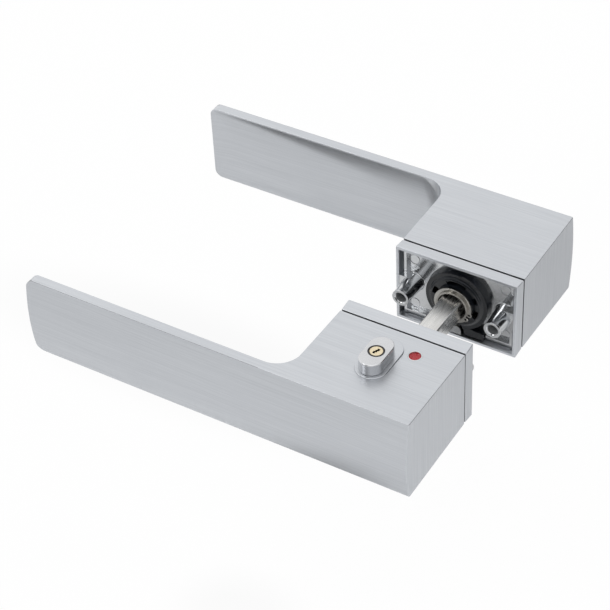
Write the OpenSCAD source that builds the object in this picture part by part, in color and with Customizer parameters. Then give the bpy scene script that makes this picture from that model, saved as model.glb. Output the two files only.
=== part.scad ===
// Bathroom door handle: two lever handles on slim oblong roses, joined through the door by a square
// spindle. The front half has a keyed privacy knob and a red and green indicator on top of its head.
//
// Frame: the origin is on the spindle axis in the middle of the door. +X points from the grips to the
// heads, +Y from the front half to the rear half, and +Z up. Every piece of a half is drawn on the +Y
// side, with y as the distance from the middle of the door, and the front half is its mirror image.

/* [Door] */
// Thickness of the door that the two roses clamp
door_t = 34.2; // [32:0.1:45]

/* [Rose] */
// Width of each rose and of each lever head
rose_w = 50; // [49:0.5:54]
// Height of each rose where it meets the door
rose_h = 34.2; // [33.8:0.1:38]
// Depth of each rose from the door to its lever side
rose_t = 5.4; // [5.2:0.1:7]
// How much lower the rose is on its lever side, at the top and at the bottom
rose_draft = 0.6; // [0:0.1:0.8]
// Wall of the rose cover round its rim
rose_wall = 1.3; // [1.1:0.1:1.6]
// Wall of the rose cover on its lever side
rose_face = 0.8; // [0.6:0.1:1.2]
// Radius of the rose cover's four corners
rose_corner = 0.5; // [0.3:0.1:1.2]
// Thickness of the die-cast base plate inside the rose
base_plate = 0.9; // [0.7:0.1:1.3]
// Thickness of the base's side walls and bottom rails
base_rib = 1.0; // [0.7:0.1:1.3]
// How far the base's side walls stay below the rim
base_inset = 2; // [0.8:0.1:2.4]
// Width of the channel between the base's side walls and the cover
base_channel = 1.1; // [0.8:0.1:1.4]
// Height in z of the step along the bottom of the base
step_h = 2; // [1.6:0.1:2.4]

/* [Screw posts] */
// Distance between the two screw posts of a rose
post_spacing = 38; // [37:0.5:39]
// Radius of a post at its tip
post_tip_r = 3.4; // [3:0.1:3.8]
// Radius of a post at its root
post_root_r = 4; // [3.8:0.1:4.5]
// How far a post stands past the face of the door
post_reach = 7.6; // [5:0.1:12]
// How much shorter the posts of the front rose are
front_post_short = 1.7; // [0:0.1:3]
// Radius of the screw hole in a post
post_hole_r = 2.1; // [1.6:0.05:2.4]
// Half height of the pad that joins each post to the wall beside it
pad_z = 3.8; // [3.4:0.1:4]
// Height of the pad above the floor of the base
pad_h = 3.6; // [3:0.1:3.6]

/* [Neck and spindle] */
// Outer radius of the lever's neck
neck_r = 6.5; // [6.2:0.1:6.6]
// How far the neck stands past the face of the door
neck_proud = 3; // [2.4:0.1:4]
// Length of the neck's tail inside the lever head
neck_tail = 9.5; // [8:0.5:10]
// Side of the square spindle
spindle_s = 8; // [7:0.1:8.2]
// Chamfer on the spindle's long edges
spindle_chamfer = 0.5; // [0.2:0.1:1]
// Radial clearance of every turning fit
running_gap = 0.05; // [0.02:0.01:0.09]
// Clearance between fixed pieces that slip together
slip_gap = 0.05; // [0.02:0.01:0.1]
// Thickness of the circlip that holds the neck
clip_t = 0.9; // [0.7:0.1:1.2]
// Radial width of the circlip
clip_w = 1.7; // [1.2:0.1:1.9]
// Depth of the circlip's groove in the neck
clip_groove = 0.5; // [0.3:0.05:0.6]
// Radius of the eyes on the circlip's ends
clip_eye_r = 1.05; // [0.9:0.05:1.2]
// Radius of the grub screw that grips the spindle
grub_r = 2.5; // [2:0.1:3]

/* [Spring cassette] */
// Outer radius of the cassette
cassette_r = 13.3; // [13:0.1:13.6]
// Height of the cassette's face above the base plate
cassette_h = 2.9; // [2.7:0.1:3.1]
// How far the cassette's hub stands above its face
hub_h = 1; // [0.6:0.1:1.1]
// Radius of the hub where its shoulder starts to slope down to the face
hub_r = 9.9; // [9.6:0.1:10]
// Thickness of the cassette's face
cassette_skin = 0.7; // [0.5:0.1:0.8]
// Thickness of the cassette's outer wall
cassette_wall = 1.2; // [0.8:0.1:1.4]
// Thickness of the bearing collar round the neck
bearing_wall = 1; // [0.8:0.1:1.2]
// Wire diameter of the return spring
spring_d = 0.8; // [0.6:0.1:0.9]
// Turns of the return spring
spring_turns = 2.4; // [2:0.1:2.6]

/* [Lever] */
// Gap between a rose and its lever head
head_gap = 0.95; // [0.6:0.05:1.5]
// Depth of the lever head, from the gap to its outer edge
head_depth = 40; // [38:0.5:48]
// How much higher the head is at its outer edge, at the top and at the bottom
head_draft = 0.6; // [0.2:0.1:1]
// Wall of the hollow lever head
head_wall = 3; // [2.6:0.1:3.2]
// Length from the spindle axis to the tip of the grip
grip_reach = 134.8; // [110:0.5:150]
// Thickness of the grip along its top and bottom edge
grip_t = 4; // [3.6:0.1:6]
// How far the outer face bows out in the middle of its height
bow = 1.7; // [0.8:0.1:3]
// Radius of the inside corner between grip and head, seen from above
plan_fillet = 9.4; // [6:0.2:12]
// Radius of the two corners at the tip of the grip
tip_r = 3.4; // [2:0.1:6]
// Depth of the finger scoop where it reaches the head
scoop_deep = 2.8; // [1.8:0.1:3]
// Depth of the finger scoop near the tip
scoop_shallow = 1.3; // [0.8:0.1:1.7]
// Width of the lip left above and below the scoop
scoop_lip = 0.5; // [0.3:0.1:1.5]
// Length of the ramp that leads into the scoop from the tip
scoop_ramp = 7; // [4:0.5:12]
// Chamfer along the outer edges of the lever
edge_c = 0.35; // [0.2:0.05:0.8]

/* [End plate] */
// Thickness of the steel plate that closes the head
plate_t = 1.2; // [1:0.1:1.5]
// Thickness of the neck's flange behind the plate
flange_t = 1.6; // [1.2:0.1:2]
// Radius of a plate screw's shank
screw_r = 1.05; // [0.9:0.05:1.2]
// Length of a plate screw
screw_len = 8; // [6:0.5:12]
// Radius of the bosses that the plate screws go into
boss_r = 3; // [2.6:0.1:3.4]

/* [Privacy knob] */
// Distance of the knob's axis from the middle of the door
knob_y = 41.1; // [40.8:0.1:42]
// Length of the oval knob
knob_len = 16.1; // [13:0.1:16.6]
// Width of the oval knob
knob_w = 9.2; // [8.6:0.1:9.8]
// Height of the knob above the head
knob_h = 5.2; // [4.2:0.1:6]
// Rounding of the knob's upper edge
knob_edge = 0.45; // [0.2:0.05:0.8]
// Length of the oblong plate under the knob
foot_len = 22.4; // [20:0.1:23]
// Width of that plate
foot_w = 11.9; // [11:0.1:13]
// How far the plate's middle lies from the knob's axis, towards the rose
foot_shift = 1.9; // [0:0.1:2.2]
// How far the plate stands above the head
foot_h = 0.4; // [0.2:0.05:0.8]
// Depth of the plate's seat in the head
foot_seat = 0.4; // [0.2:0.05:0.45]
// Radius of the knob's stem
stem_r = 4.1; // [3.9:0.1:4.2]
// Side of the stem's square end
drive_s = 4.4; // [4:0.1:4.5]
// Radius of the brass key core
core_r = 2.35; // [2.1:0.05:2.5]
// Width of the black ring round the key core
key_ring_w = 0.65; // [0.5:0.05:0.9]
// Depth of the black ring and of the key slot
key_slot_deep = 1.4; // [1:0.1:1.8]
// Length of the key core
core_len = 5.2; // [4:0.1:5.4]

/* [Indicator] */
// Distance of the indicator from the knob's axis
dot_radius = 13.6; // [13.4:0.05:13.75]
// Direction of the indicator from the knob's axis, measured from +X
dot_angle = 42.7; // [36:0.1:45]
// Radius of the coloured dot
dot_r = 2.25; // [1.8:0.05:2.3]
// Width of the pale ring round the dot
bezel_w = 0.4; // [0.2:0.05:0.45]
// Thickness of the head above the indicator
window_t = 0.65; // [0.5:0.05:0.8]
// Thickness of the indicator arm
arm_t = 0.7; // [0.5:0.05:0.9]

/* [Privacy bolt] */
// Width of the sliding bolt
bolt_w = 5; // [4:0.2:6]
// Height of the sliding bolt
bolt_h = 3.4; // [2.6:0.1:3.4]
// Travel of the bolt over a quarter turn of the knob
bolt_travel = 3; // [2:0.1:3.2]
// How far the bolt stands into the gap when it is out
bolt_out = 0.5; // [0.2:0.05:0.5]
// Radius of the pin that follows the cam
pin_r = 1.2; // [1:0.1:1.3]
// Thickness of the cam disc
cam_t = 1.6; // [1.2:0.1:1.8]
// Radius of the cam disc
cam_r = 10.6; // [10.2:0.1:11]
// Distance of the bolt's pin from the knob's axis when the bolt is out
pin_out = 8.2; // [8.1:0.05:8.4]

/* [Hidden] */
$fn = 96;

// Cutters reach this far past the faces that they cut
past = 1;
// A cutter that is not meant to reach further overlaps by this much
bite = 0.01;

// Planes along y, from the middle of the door outwards
door_face = door_t / 2;
rose_out = door_face + rose_t;
cover_in = rose_out - rose_face;
floor_y = cover_in - base_plate;
head_y = rose_out + head_gap;
outer_y = head_y + head_depth;
grip_y = outer_y - grip_t;
neck_end = door_face - neck_proud;
clip_inset = 0.8;
clip_y = neck_end + clip_inset;
bearing_y = clip_y + clip_t + running_gap;
cassette_y = floor_y - cassette_h;
cassette_room = 0.2;
cassette_draft = 0.5;
face_r = cassette_r - cassette_draft;
pad_y = floor_y - pad_h;
hub_y = cassette_y - hub_h;
cassette_back = cassette_y + cassette_skin;
function post_end(front) = door_face - post_reach + (front ? front_post_short : 0);
plate_in = head_y + plate_t;
flange_in = plate_in + flange_t;
tail_y = head_y + neck_tail;

// Half heights of the rose and the head, and the bow of the outer face
head_half = rose_h / 2 - rose_draft;
outer_half = head_half + head_draft;
bow_r = outer_half * outer_half / (2 * bow) + bow / 2;
function rose_half(y) = rose_h / 2 - rose_draft * (y - door_face) / rose_t;
function head_top(y) = head_half + head_draft * (y - head_y) / head_depth;

// Inside of the rose cover
cover_x = rose_w / 2 - rose_wall;
cover_z = rose_half(cover_in) - rose_wall;
base_x = cover_x - slip_gap;
base_z = cover_z - slip_gap;
base_top = door_face + base_inset;
neck_room = 0.3;
rib_x = base_x - base_channel;
rail_z = base_z - step_h;
tab_x0 = 2.6;
tab_x1 = 11.3;

// Place along x where the scoop starts to turn the corner
scoop_x = rose_w / 2 + plan_fillet + scoop_deep;

// Inside of the lever head
cave_x = rose_w / 2 - head_wall;
cave_z = head_half - head_wall;
cave_y = outer_y - head_wall;
plate_x = cave_x - slip_gap;
plate_z = cave_z - slip_gap;
boss_x = cave_x - boss_r - 0.4;
boss_z = cave_z - boss_r - 0.2;
grub_y = (flange_in + tail_y) / 2;
socket_s = spindle_s + 2 * running_gap;

// Levels under the knob, along z
knob_z = head_top(knob_y);
knob_under = knob_z + foot_h + running_gap;
knob_top = knob_z + knob_h;
seat_z = knob_z - foot_seat;
arm_room = 0.3;
pocket_z = seat_z - 1;
arm_top = pocket_z - arm_room;
arm_z = arm_top - arm_t;
cam_top = min(cave_z - 0.3, arm_z - 0.4);
cam_z = cam_top - cam_t;
bolt_top = cam_z - 0.4;
bolt_z = bolt_top - bolt_h;
groove_z = head_top(knob_y - dot_radius) - window_t;
pad_top = groove_z - 0.15;
dot_x = dot_radius * cos(dot_angle);
dot_y = knob_y - dot_radius * sin(dot_angle);
pad_half = dot_r + bezel_w;
pad_angle = asin(pad_half / dot_radius) + 2;
swing_r = dot_radius + dot_r + 0.2;
groove_in = dot_radius - pad_half - 0.3;
groove_out = dot_radius + pad_half + 0.15;

// The cam's slot winds in from the pin's outer place to its inner place over a quarter turn
pin_in = pin_out - bolt_travel;
pin_y = knob_y - pin_out;
slot_half = pin_r + 0.25;
turn = 90;

satin = [0.78, 0.79, 0.80];
cast = [0.66, 0.68, 0.70];
steel = [0.62, 0.61, 0.58];
black = [0.10, 0.11, 0.13];
brass = [0.80, 0.66, 0.36];

// Placing helpers: each draws its 2D child in two of the three axes and pushes it along the third

// Child in X and Z, from y0 to y1
module slab_y(y0, y1) {
    translate([0, y1, 0]) rotate([90, 0, 0]) linear_extrude(height = y1 - y0) children();
}

// Child in Y and Z, from x0 to x1
module slab_x(x0, x1) {
    translate([x0, 0, 0]) rotate([90, 0, 90]) linear_extrude(height = x1 - x0) children();
}

// Child in X and Y, from z0 to z1
module slab_z(z0, z1) {
    translate([0, 0, z0]) linear_extrude(height = z1 - z0) children();
}

module rod_y(r, y0, y1) {
    translate([0, y0, 0]) rotate([-90, 0, 0]) cylinder(r = r, h = y1 - y0);
}

module cone_y(r0, r1, y0, y1) {
    translate([0, y0, 0]) rotate([-90, 0, 0]) cylinder(r1 = r0, r2 = r1, h = y1 - y0);
}

module rod_z(r, z0, z1) {
    translate([0, 0, z0]) cylinder(r = r, h = z1 - z0);
}

// The front half is the mirror image of what is drawn
module half(front) {
    if (front) mirror([0, 1, 0]) children();
    else children();
}

module at_knob() {
    translate([0, knob_y, 0]) children();
}

module both_sides() {
    for (side = [-1, 1]) scale([side, 1, 1]) children();
}

// Rectangle about the origin with round corners
module round_rect(w, h, r) {
    square([w - 2 * r, h], center = true);
    square([w, h - 2 * r], center = true);
    for (x = [-1, 1], y = [-1, 1]) translate([x * (w / 2 - r), y * (h / 2 - r)]) circle(r = r);
}

// Pie slice between two angles that cuts a ring of any size up to r
module slice(r, a0, a1) {
    steps = ceil((a1 - a0) / 30);
    polygon(concat([[0, 0]], [for (i = [0:steps]) let (a = a0 + (a1 - a0) * i / steps)
        [r * cos(a), r * sin(a)]]));
}

module ring(r0, r1) {
    difference() {
        circle(r = r1);
        circle(r = r0);
    }
}

// Rose

module rose_cover(front) {
    difference() {
        intersection() {
            slab_x(-rose_w / 2, rose_w / 2) polygon([
                [door_face, -rose_half(door_face)], [rose_out, -head_half],
                [rose_out, head_half], [door_face, rose_half(door_face)]
            ]);
            slab_y(door_face - past, rose_out + past) round_rect(rose_w, rose_h, rose_corner);
        }
        slab_x(-cover_x, cover_x) polygon([
            [door_face - past, rose_wall - rose_half(door_face - past)], [cover_in, -cover_z],
            [cover_in, cover_z], [door_face - past, rose_half(door_face - past) - rose_wall]
        ]);
        rod_y(neck_r + neck_room, cover_in - past, rose_out + past);
        if (front) bolt_way(cover_in - past, rose_out + past);
    }
}

// Opening that the privacy bolt passes through
module bolt_way(y0, y1) {
    room = 0.2;
    slab_y(y0, y1) translate([-bolt_w / 2 - room, bolt_z - room]) square([bolt_w + 2 * room, bolt_h + 2 * room]);
}

// One tapered screw post with its pad, at +X, cut flat beside the side wall and clear of the cassette
module screw_post(end_y) {
    difference() {
        intersection() {
            whole_post(end_y);
            slab_y(end_y, floor_y) translate([0, -base_z]) square([base_x, 2 * base_z]);
        }
        rod_y(cassette_r + cassette_room, end_y - past, floor_y);
    }
}

module whole_post(end_y) {
    lip_h = 0.9;
    lip_step = 0.1;
    fillet = 0.5;
    post_x = post_spacing / 2;
    translate([post_x, 0, 0]) {
        cone_y(post_tip_r - lip_step, post_root_r, end_y + lip_h - bite, floor_y);
        rod_y(post_tip_r, end_y, end_y + lip_h);
        translate([0, floor_y, 0]) rotate([-90, 0, 0]) rotate_extrude() translate([0, -fillet]) difference() {
            square([post_root_r + fillet, fillet]);
            translate([post_root_r + fillet, 0]) circle(r = fillet);
        }
    }
    slab_y(pad_y, floor_y) translate([post_x, -pad_z]) square([base_x - post_x, 2 * pad_z]);
}

module rose_base(front) {
    post_mouth = 0.4;
    mark_r = 2.4;
    mark_w = 0.5;
    mark_deep = 0.2;
    mark_x = 18.9;
    mark_z = 10.5;
    rail_over = 0.5;
    difference() {
        union() {
            slab_y(floor_y, cover_in) square([2 * base_x, 2 * base_z], center = true);
            both_sides() {
                slab_y(base_top, floor_y) translate([rib_x - base_rib, -base_z]) square([base_rib, 2 * base_z]);
                screw_post(post_end(front));
            }
            slab_y(base_top + rail_over, floor_y) bottom_step(step_h);
            slab_y(base_top, floor_y) intersection() {
                bottom_step(step_h);
                translate([-base_x, -rail_z - base_rib]) square([2 * base_x, base_rib]);
            }
            stop_tongue();
        }
        rod_y(neck_r + neck_room, floor_y - past, cover_in + past);
        both_sides() translate([post_spacing / 2, 0, 0]) {
            rod_y(post_hole_r, post_end(front) - past, floor_y);
            cone_y(post_hole_r + post_mouth, post_hole_r, post_end(front), post_end(front) + post_mouth);
        }
        for (x = [-mark_x, mark_x], z = [-mark_z, mark_z])
            translate([x, 0, z]) slab_y(floor_y - past, floor_y + mark_deep) ring(mark_r - mark_w, mark_r);
        if (front) bolt_way(floor_y - past, cover_in + past);
    }
}

// Step along the bottom of the base, open beside the cassette and its foot
module bottom_step(h) {
    clear = 0.3;
    difference() {
        translate([-rib_x, -base_z]) square([2 * rib_x, h]);
        translate([-cassette_r, -base_z - past]) square([cassette_r + tab_x1 + clear, h + 2 * past]);
    }
}

// Round-topped tongue that reaches through the opening of the cassette and over the return spring
module stop_tongue() {
    tongue_r = 2.1;
    tongue_x = 0.25;
    tongue_h = 3.6;
    tip_z = -11.5;
    difference() {
        slab_y(floor_y - tongue_h, floor_y) translate([tongue_x - tongue_r, -base_z]) {
            square([2 * tongue_r, base_z + tip_z - tongue_r]);
            intersection() {
                square([2 * tongue_r, base_z + tip_z]);
                translate([tongue_r, base_z + tip_z - tongue_r]) circle(r = tongue_r);
            }
        }
        rod_y(cassette_r - cassette_wall, cassette_back, floor_y + past);
    }
}

// Spring cassette

// Opening in the lower left of the cassette, outside of radius r
module cassette_opening(r) {
    difference() {
        slice(2 * cassette_r, 215, 282);
        circle(r = r);
    }
}

// Turned body: bearing collar, raised hub, sloping shoulder, face and outer wall
module cassette_body() {
    shoulder_r = hub_r + 1.5;
    skew = 0.3;
    rotate([-90, 0, 0]) rotate_extrude() polygon([
        [neck_r + running_gap, bearing_y], [bearing_out(), bearing_y], [bearing_out(), hub_y],
        [hub_r, hub_y], [shoulder_r, cassette_y], [face_r, cassette_y], [cassette_r, floor_y],
        [cassette_r - cassette_wall, floor_y], [cassette_r - cassette_wall, cassette_back],
        [shoulder_r - skew, cassette_back], [hub_r - skew, hub_y + cassette_skin],
        [bearing_out(), hub_y + cassette_skin], [bearing_out(), floor_y], [neck_r + running_gap, floor_y]
    ]);
}

module cassette() {
    open_r = hub_r + 0.3;
    end_a = 216;
    end_r = (face_r - open_r) / 2 - 0.1;
    window_in = bearing_out() + 0.15;
    window_out = hub_r - 0.2;
    arc_h = 0.5;
    arc_out = face_r - 0.1;
    arc_in = arc_out - 0.9;
    foot_top = 2.8;
    color(black) {
        difference() {
            cassette_body();
            slab_y(bearing_y - past, floor_y + past) cassette_opening(open_r);
            for (w = [[62, 114], [150, 172], [14, 33], [-32, -6]])
                slab_y(hub_y - past, hub_y + cassette_skin + 0.2) intersection() {
                    ring(window_in, window_out);
                    slice(2 * cassette_r, w[0], w[1]);
                }
        }
        // Rounded end of the face beside the opening
        slab_y(cassette_y, cassette_back) rotate(end_a) translate([face_r - end_r - 0.1, 0]) circle(r = end_r);
        // Raised arc on the face
        slab_y(cassette_y - arc_h, cassette_y + bite) intersection() {
            ring(arc_in, arc_out);
            slice(2 * cassette_r, 81, 142);
        }
        // Foot that reaches the bottom wall of the rose
        slab_y(floor_y - foot_top, floor_y) difference() {
            polygon([[tab_x0, -cassette_r + 2], [tab_x0 + 1, -base_z], [tab_x1, -base_z], [tab_x1, -rail_z + 1]]);
            circle(r = cassette_r - cassette_wall);
        }
    }
}

function bearing_out() = neck_r + running_gap + bearing_wall;

// Flat spiral of round wire, drawn as one tube along a spiral in X and Z
module spiral(y, r0, r1, turns, d, per_turn, sides) {
    count = ceil(turns * per_turn);
    points = [for (i = [0:count], k = [0:sides - 1])
        let (a = 360 * turns * i / count, b = 360 * k / sides, r = r0 + (r1 - r0) * i / count + d / 2 * cos(b))
        [r * cos(a), y + d / 2 * sin(b), r * sin(a)]];
    walls = [for (i = [0:count - 1], k = [0:sides - 1], half_face = [0, 1])
        let (a = i * sides + k, b = i * sides + (k + 1) % sides)
        half_face == 0 ? [a, b, b + sides] : [a, b + sides, a + sides]];
    path = [for (i = [0:count]) let (a = 360 * turns * i / count) (r0 + (r1 - r0) * i / count) * [cos(a), sin(a)]];
    apart = min([for (i = [0:count], j = [i + per_turn / 2:count]) norm(path[j] - path[i])]);
    echo(str("return spring: least gap between its turns is ", apart - d, " mm"));
    last = count * sides;
    caps = [for (k = [1:sides - 2], end = [0, 1]) end == 0 ? [0, k + 1, k] : [last, last + k, last + k + 1]];
    polyhedron(points = points, faces = concat(walls, caps), convexity = 6);
}

module return_spring() {
    play = 0.25;
    r0 = bearing_out() + play + spring_d / 2;
    r1 = cassette_r - cassette_wall - play - spring_d / 2;
    spiral((cassette_back + floor_y) / 2, r0, r1, spring_turns, spring_d, 24, 6);
}

module slide_washer() {
    washer_w = 1;
    slab_y(rose_out, head_y - running_gap) ring(neck_r + 2 * running_gap, neck_r + 2 * running_gap + washer_w);
}

// Lever

// Head and grip seen from above
module lever_plan() {
    far = outer_y + 2 * bow;
    corner = rose_w / 2 + plan_fillet;
    difference() {
        union() {
            translate([-rose_w / 2, head_y]) square([rose_w, far - head_y]);
            translate([-grip_reach, grip_y]) square([grip_reach, far - grip_y]);
            translate([-corner, grip_y - plan_fillet]) square([plan_fillet + bite, plan_fillet + bite]);
        }
        translate([-corner, grip_y - plan_fillet]) circle(r = plan_fillet);
        // Chamfer down the outer corner of the head
        translate([rose_w / 2, outer_y + bow]) rotate(45) square(2 * edge_c, center = true);
    }
}

// Cross-section of head and grip, with the taper of the top and bottom and chamfered outer edges
module lever_section() {
    far = outer_y + 2 * bow;
    polygon([
        [head_y, -head_half], [outer_y - edge_c, -outer_half],
        [outer_y + edge_c, edge_c - outer_half], [far, edge_c - outer_half],
        [far, outer_half - edge_c], [outer_y + edge_c, outer_half - edge_c],
        [outer_y - edge_c, outer_half], [head_y, head_half]
    ]);
}

// Outline seen from the front, round at the tip
module lever_front() {
    translate([-grip_reach + tip_r, -outer_half]) square([grip_reach - tip_r + rose_w / 2 - edge_c, 2 * outer_half]);
    translate([-grip_reach, tip_r - outer_half]) square([tip_r + bite, 2 * (outer_half - tip_r)]);
    for (s = [-1, 1]) translate([tip_r - grip_reach, s * (outer_half - tip_r)]) circle(r = tip_r);
    translate([0, edge_c - outer_half]) square([rose_w / 2, 2 * (outer_half - edge_c)]);
}

module lever_blank() {
    intersection() {
        slab_z(-outer_half - past, outer_half + past) lever_plan();
        slab_x(-grip_reach - past, rose_w / 2 + past) lever_section();
        slab_y(head_y - past, outer_y + 2 * bow + past) lever_front();
        // The bowed outer face
        translate([-grip_reach - past, outer_y + bow - bow_r, 0]) rotate([0, 90, 0])
            cylinder(r = bow_r, h = grip_reach + rose_w / 2 + 2 * past, $fn = 360);
    }
}

// Finger scoop in the inner face of the grip. Its section is an arc from lip to lip, and its floor
// falls away from the tip until it reaches the corner between grip and head.
function scoop_arc_r() = let (mouth = outer_half - scoop_lip) mouth * mouth / (2 * scoop_deep) + scoop_deep / 2;

module scoop_run() {
    floor_deep = grip_y + scoop_deep;
    tip_x = -grip_reach;
    ramp_x = 1;
    steep = 3;
    crown_r = 2.4 * scoop_arc_r();
    crown_over = 0.06;
    lean = atan((scoop_deep + crown_over - scoop_shallow) / (grip_reach - scoop_x - scoop_ramp));
    intersection() {
        slab_z(-outer_half - past, outer_half + past) polygon([
            [tip_x + ramp_x, grip_y - past], [tip_x + ramp_x, grip_y],
            [tip_x + ramp_x + steep * (scoop_ramp - ramp_x), grip_y + steep * scoop_shallow],
            [-scoop_x, grip_y + steep * scoop_shallow], [-scoop_x, grip_y - past]
        ]);
        translate([tip_x, floor_deep - scoop_arc_r(), 0]) rotate([0, 90, 0])
            cylinder(r = scoop_arc_r(), h = grip_reach, $fn = 360);
        // A flatter crown that leans with the floor
        translate([-scoop_x, floor_deep + crown_over - crown_r, 0]) rotate([0, -90, -lean])
            translate([0, 0, -2 * plan_fillet]) cylinder(r = crown_r, h = grip_reach, $fn = 360);
    }
}

// The scoop turns the corner into the side of the head round a vertical axis
module scoop_turn() {
    translate([-scoop_x, grip_y - plan_fillet, 0]) rotate_extrude(angle = 90) intersection() {
        translate([plan_fillet + scoop_deep - scoop_arc_r(), 0]) circle(r = scoop_arc_r(), $fn = 360);
        translate([0, -outer_half - past]) square([2 * scoop_arc_r(), 2 * (outer_half + past)]);
    }
}

module boss_places() {
    for (x = [-boss_x, boss_x], z = [-boss_z, boss_z]) translate([x, 0, z]) children();
}

module lever(front) {
    shank = screw_r - 0.1;
    difference() {
        union() {
            difference() {
                lever_blank();
                scoop_run();
                scoop_turn();
                slab_y(head_y - past, cave_y) square([2 * cave_x, 2 * cave_z], center = true);
            }
            boss_places() rod_y(boss_r, plate_in, cave_y + bite);
        }
        boss_places() rod_y(screw_r, plate_in - past, head_y + screw_len + 0.5);
        translate([0, grub_y, 0]) rod_z(grub_r + slip_gap, -outer_half - past, -cave_z + past);
        if (front) knob_seat();
    }
}

// What the privacy knob and its indicator need cut in the top of the front head
module knob_seat() {
    at_knob() {
        slab_z(seat_z, outer_half + past) foot_outline(slip_gap);
        rod_z(stem_r + running_gap, pocket_z - bite, outer_half + past);
        rod_z(groove_out + 0.25, cave_z - past, pocket_z);
        slab_z(pocket_z - bite, groove_z) ring(groove_in, groove_out);
    }
    translate([dot_x, dot_y, 0]) rod_z(dot_r + bezel_w, groove_z - bite, outer_half + past);
}

// End plate, neck, circlip and screws

module end_plate(front) {
    difference() {
        slab_y(head_y, plate_in) square([2 * plate_x, 2 * plate_z], center = true);
        rod_y(neck_r + slip_gap, head_y - past, plate_in + past);
        boss_places() plate_screw(slip_gap);
        if (front) bolt_way(head_y - past, plate_in + past);
    }
}

// Countersunk screw from the plate's outer face; room widens it into its own hole
module plate_screw(room) {
    head_r = 2 * screw_r;
    cone_y(head_r + room, screw_r + room, head_y, plate_in);
    rod_y(screw_r + room, plate_in - bite, head_y + screw_len);
}

module plate_screw_set() {
    slot_w = 0.5;
    slot_deep = 0.4;
    for (front = [true, false]) half(front) boss_places() difference() {
        plate_screw(-slip_gap);
        for (a = [0, 90])
            rotate([0, a, 0]) slab_y(head_y - past, head_y + slot_deep) square([2.6 * screw_r, slot_w], center = true);
    }
}

module neck() {
    flange_x = 11;
    flange_z = 11;
    difference() {
        union() {
            rod_y(neck_r, neck_end, tail_y);
            slab_y(plate_in, flange_in) intersection() {
                square([2 * flange_x, 2 * flange_z], center = true);
                translate([0, bolt_z - 0.6 - 3 * flange_z]) square([2 * flange_x, 6 * flange_z], center = true);
            }
        }
        slab_y(neck_end - past, tail_y + past) square(socket_s, center = true);
        slab_y(clip_y, clip_y + clip_t) ring(neck_r - clip_groove, neck_r + past);
        translate([0, grub_y, 0]) rod_z(grub_r + slip_gap, -neck_r - past, -socket_s / 2 + past);
    }
}

// External circlip, with its gap and its two eyes towards the lower right
module circlip() {
    mid = -29;
    gap = 10;
    eye = 12;
    eye_in = 0.6;
    inner = neck_r - clip_groove + slip_gap;
    outer = inner + clip_w;
    eye_hole = 0.5;
    slab_y(clip_y + slip_gap / 2, clip_y + clip_t - slip_gap / 2) difference() {
        union() {
            difference() {
                ring(inner, outer);
                slice(2 * outer, mid - gap / 2, mid + gap / 2);
            }
            for (s = [-1, 1]) rotate(mid + s * eye) translate([outer - eye_in, 0]) circle(r = clip_eye_r);
        }
        circle(r = neck_r + slip_gap);
        for (s = [-1, 1]) rotate(mid + s * eye) translate([outer - eye_in, 0]) circle(r = eye_hole);
    }
    // The part that lies in the groove
    slab_y(clip_y + slip_gap / 2, clip_y + clip_t - slip_gap / 2) difference() {
        ring(inner, neck_r + 2 * slip_gap);
        slice(2 * outer, mid - gap / 2, mid + gap / 2);
    }
}

module spindle() {
    flat = spindle_s / 2;
    corner = flat - spindle_chamfer;
    slab_y(-tail_y, tail_y) polygon([
        [-corner, -flat], [corner, -flat], [flat, -corner], [flat, corner],
        [corner, flat], [-corner, flat], [-flat, corner], [-flat, -corner]
    ]);
}

module grub_screw_set() {
    sunk = 0.8;
    hex_r = 1.45;
    hex_deep = 2.5;
    foot = -head_top(grub_y) + sunk;
    for (front = [true, false]) half(front) translate([0, grub_y, 0]) difference() {
        rod_z(grub_r, foot, -spindle_s / 2);
        translate([0, 0, foot - past]) cylinder(r = hex_r, h = hex_deep + past, $fn = 6);
    }
}

// Privacy knob, key core and indicator

// Oblong plate with round ends, widened by room
module foot_outline(room) {
    end_r = foot_w / 2;
    reach = foot_len / 2 - end_r;
    translate([0, -foot_shift]) {
        for (s = [-1, 1]) translate([0, s * reach]) circle(r = end_r + room);
        square([foot_w + 2 * room, 2 * reach], center = true);
    }
}

module knob_plate() {
    bevel = 0.2;
    at_knob() difference() {
        union() {
            slab_z(seat_z, knob_z + foot_h - bevel) foot_outline(0);
            slab_z(seat_z, knob_z + foot_h) foot_outline(-bevel);
        }
        rod_z(stem_r + running_gap, seat_z - past, knob_z + foot_h + past);
    }
}

// Half section of the knob with a round upper edge
module knob_section() {
    half_w = knob_w / 2;
    square([half_w, knob_top - knob_under - knob_edge]);
    square([half_w - knob_edge, knob_top - knob_under]);
    translate([half_w - knob_edge, knob_top - knob_under - knob_edge]) circle(r = knob_edge);
}

module privacy_knob() {
    reach = (knob_len - knob_w) / 2;
    at_knob() difference() {
        union() {
            for (s = [-1, 1]) translate([0, s * reach, knob_under]) rotate_extrude() knob_section();
            slab_y(-reach, reach) translate([0, knob_under]) {
                knob_section();
                mirror([1, 0]) knob_section();
            }
            rod_z(stem_r, arm_top, knob_under + bite);
            slab_z(cam_z, arm_top + bite) square(drive_s, center = true);
        }
        rod_z(core_r + running_gap, knob_top - core_len - running_gap, knob_top + past);
        rod_z(core_r + key_ring_w + slip_gap, knob_top - key_slot_deep, knob_top + past);
        cam_screw_shape(slip_gap);
    }
}

module key_ring() {
    ring_sunk = 0.1;
    at_knob() slab_z(knob_top - key_slot_deep, knob_top - ring_sunk)
        ring(core_r + 2 * running_gap, core_r + key_ring_w);
}

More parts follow.
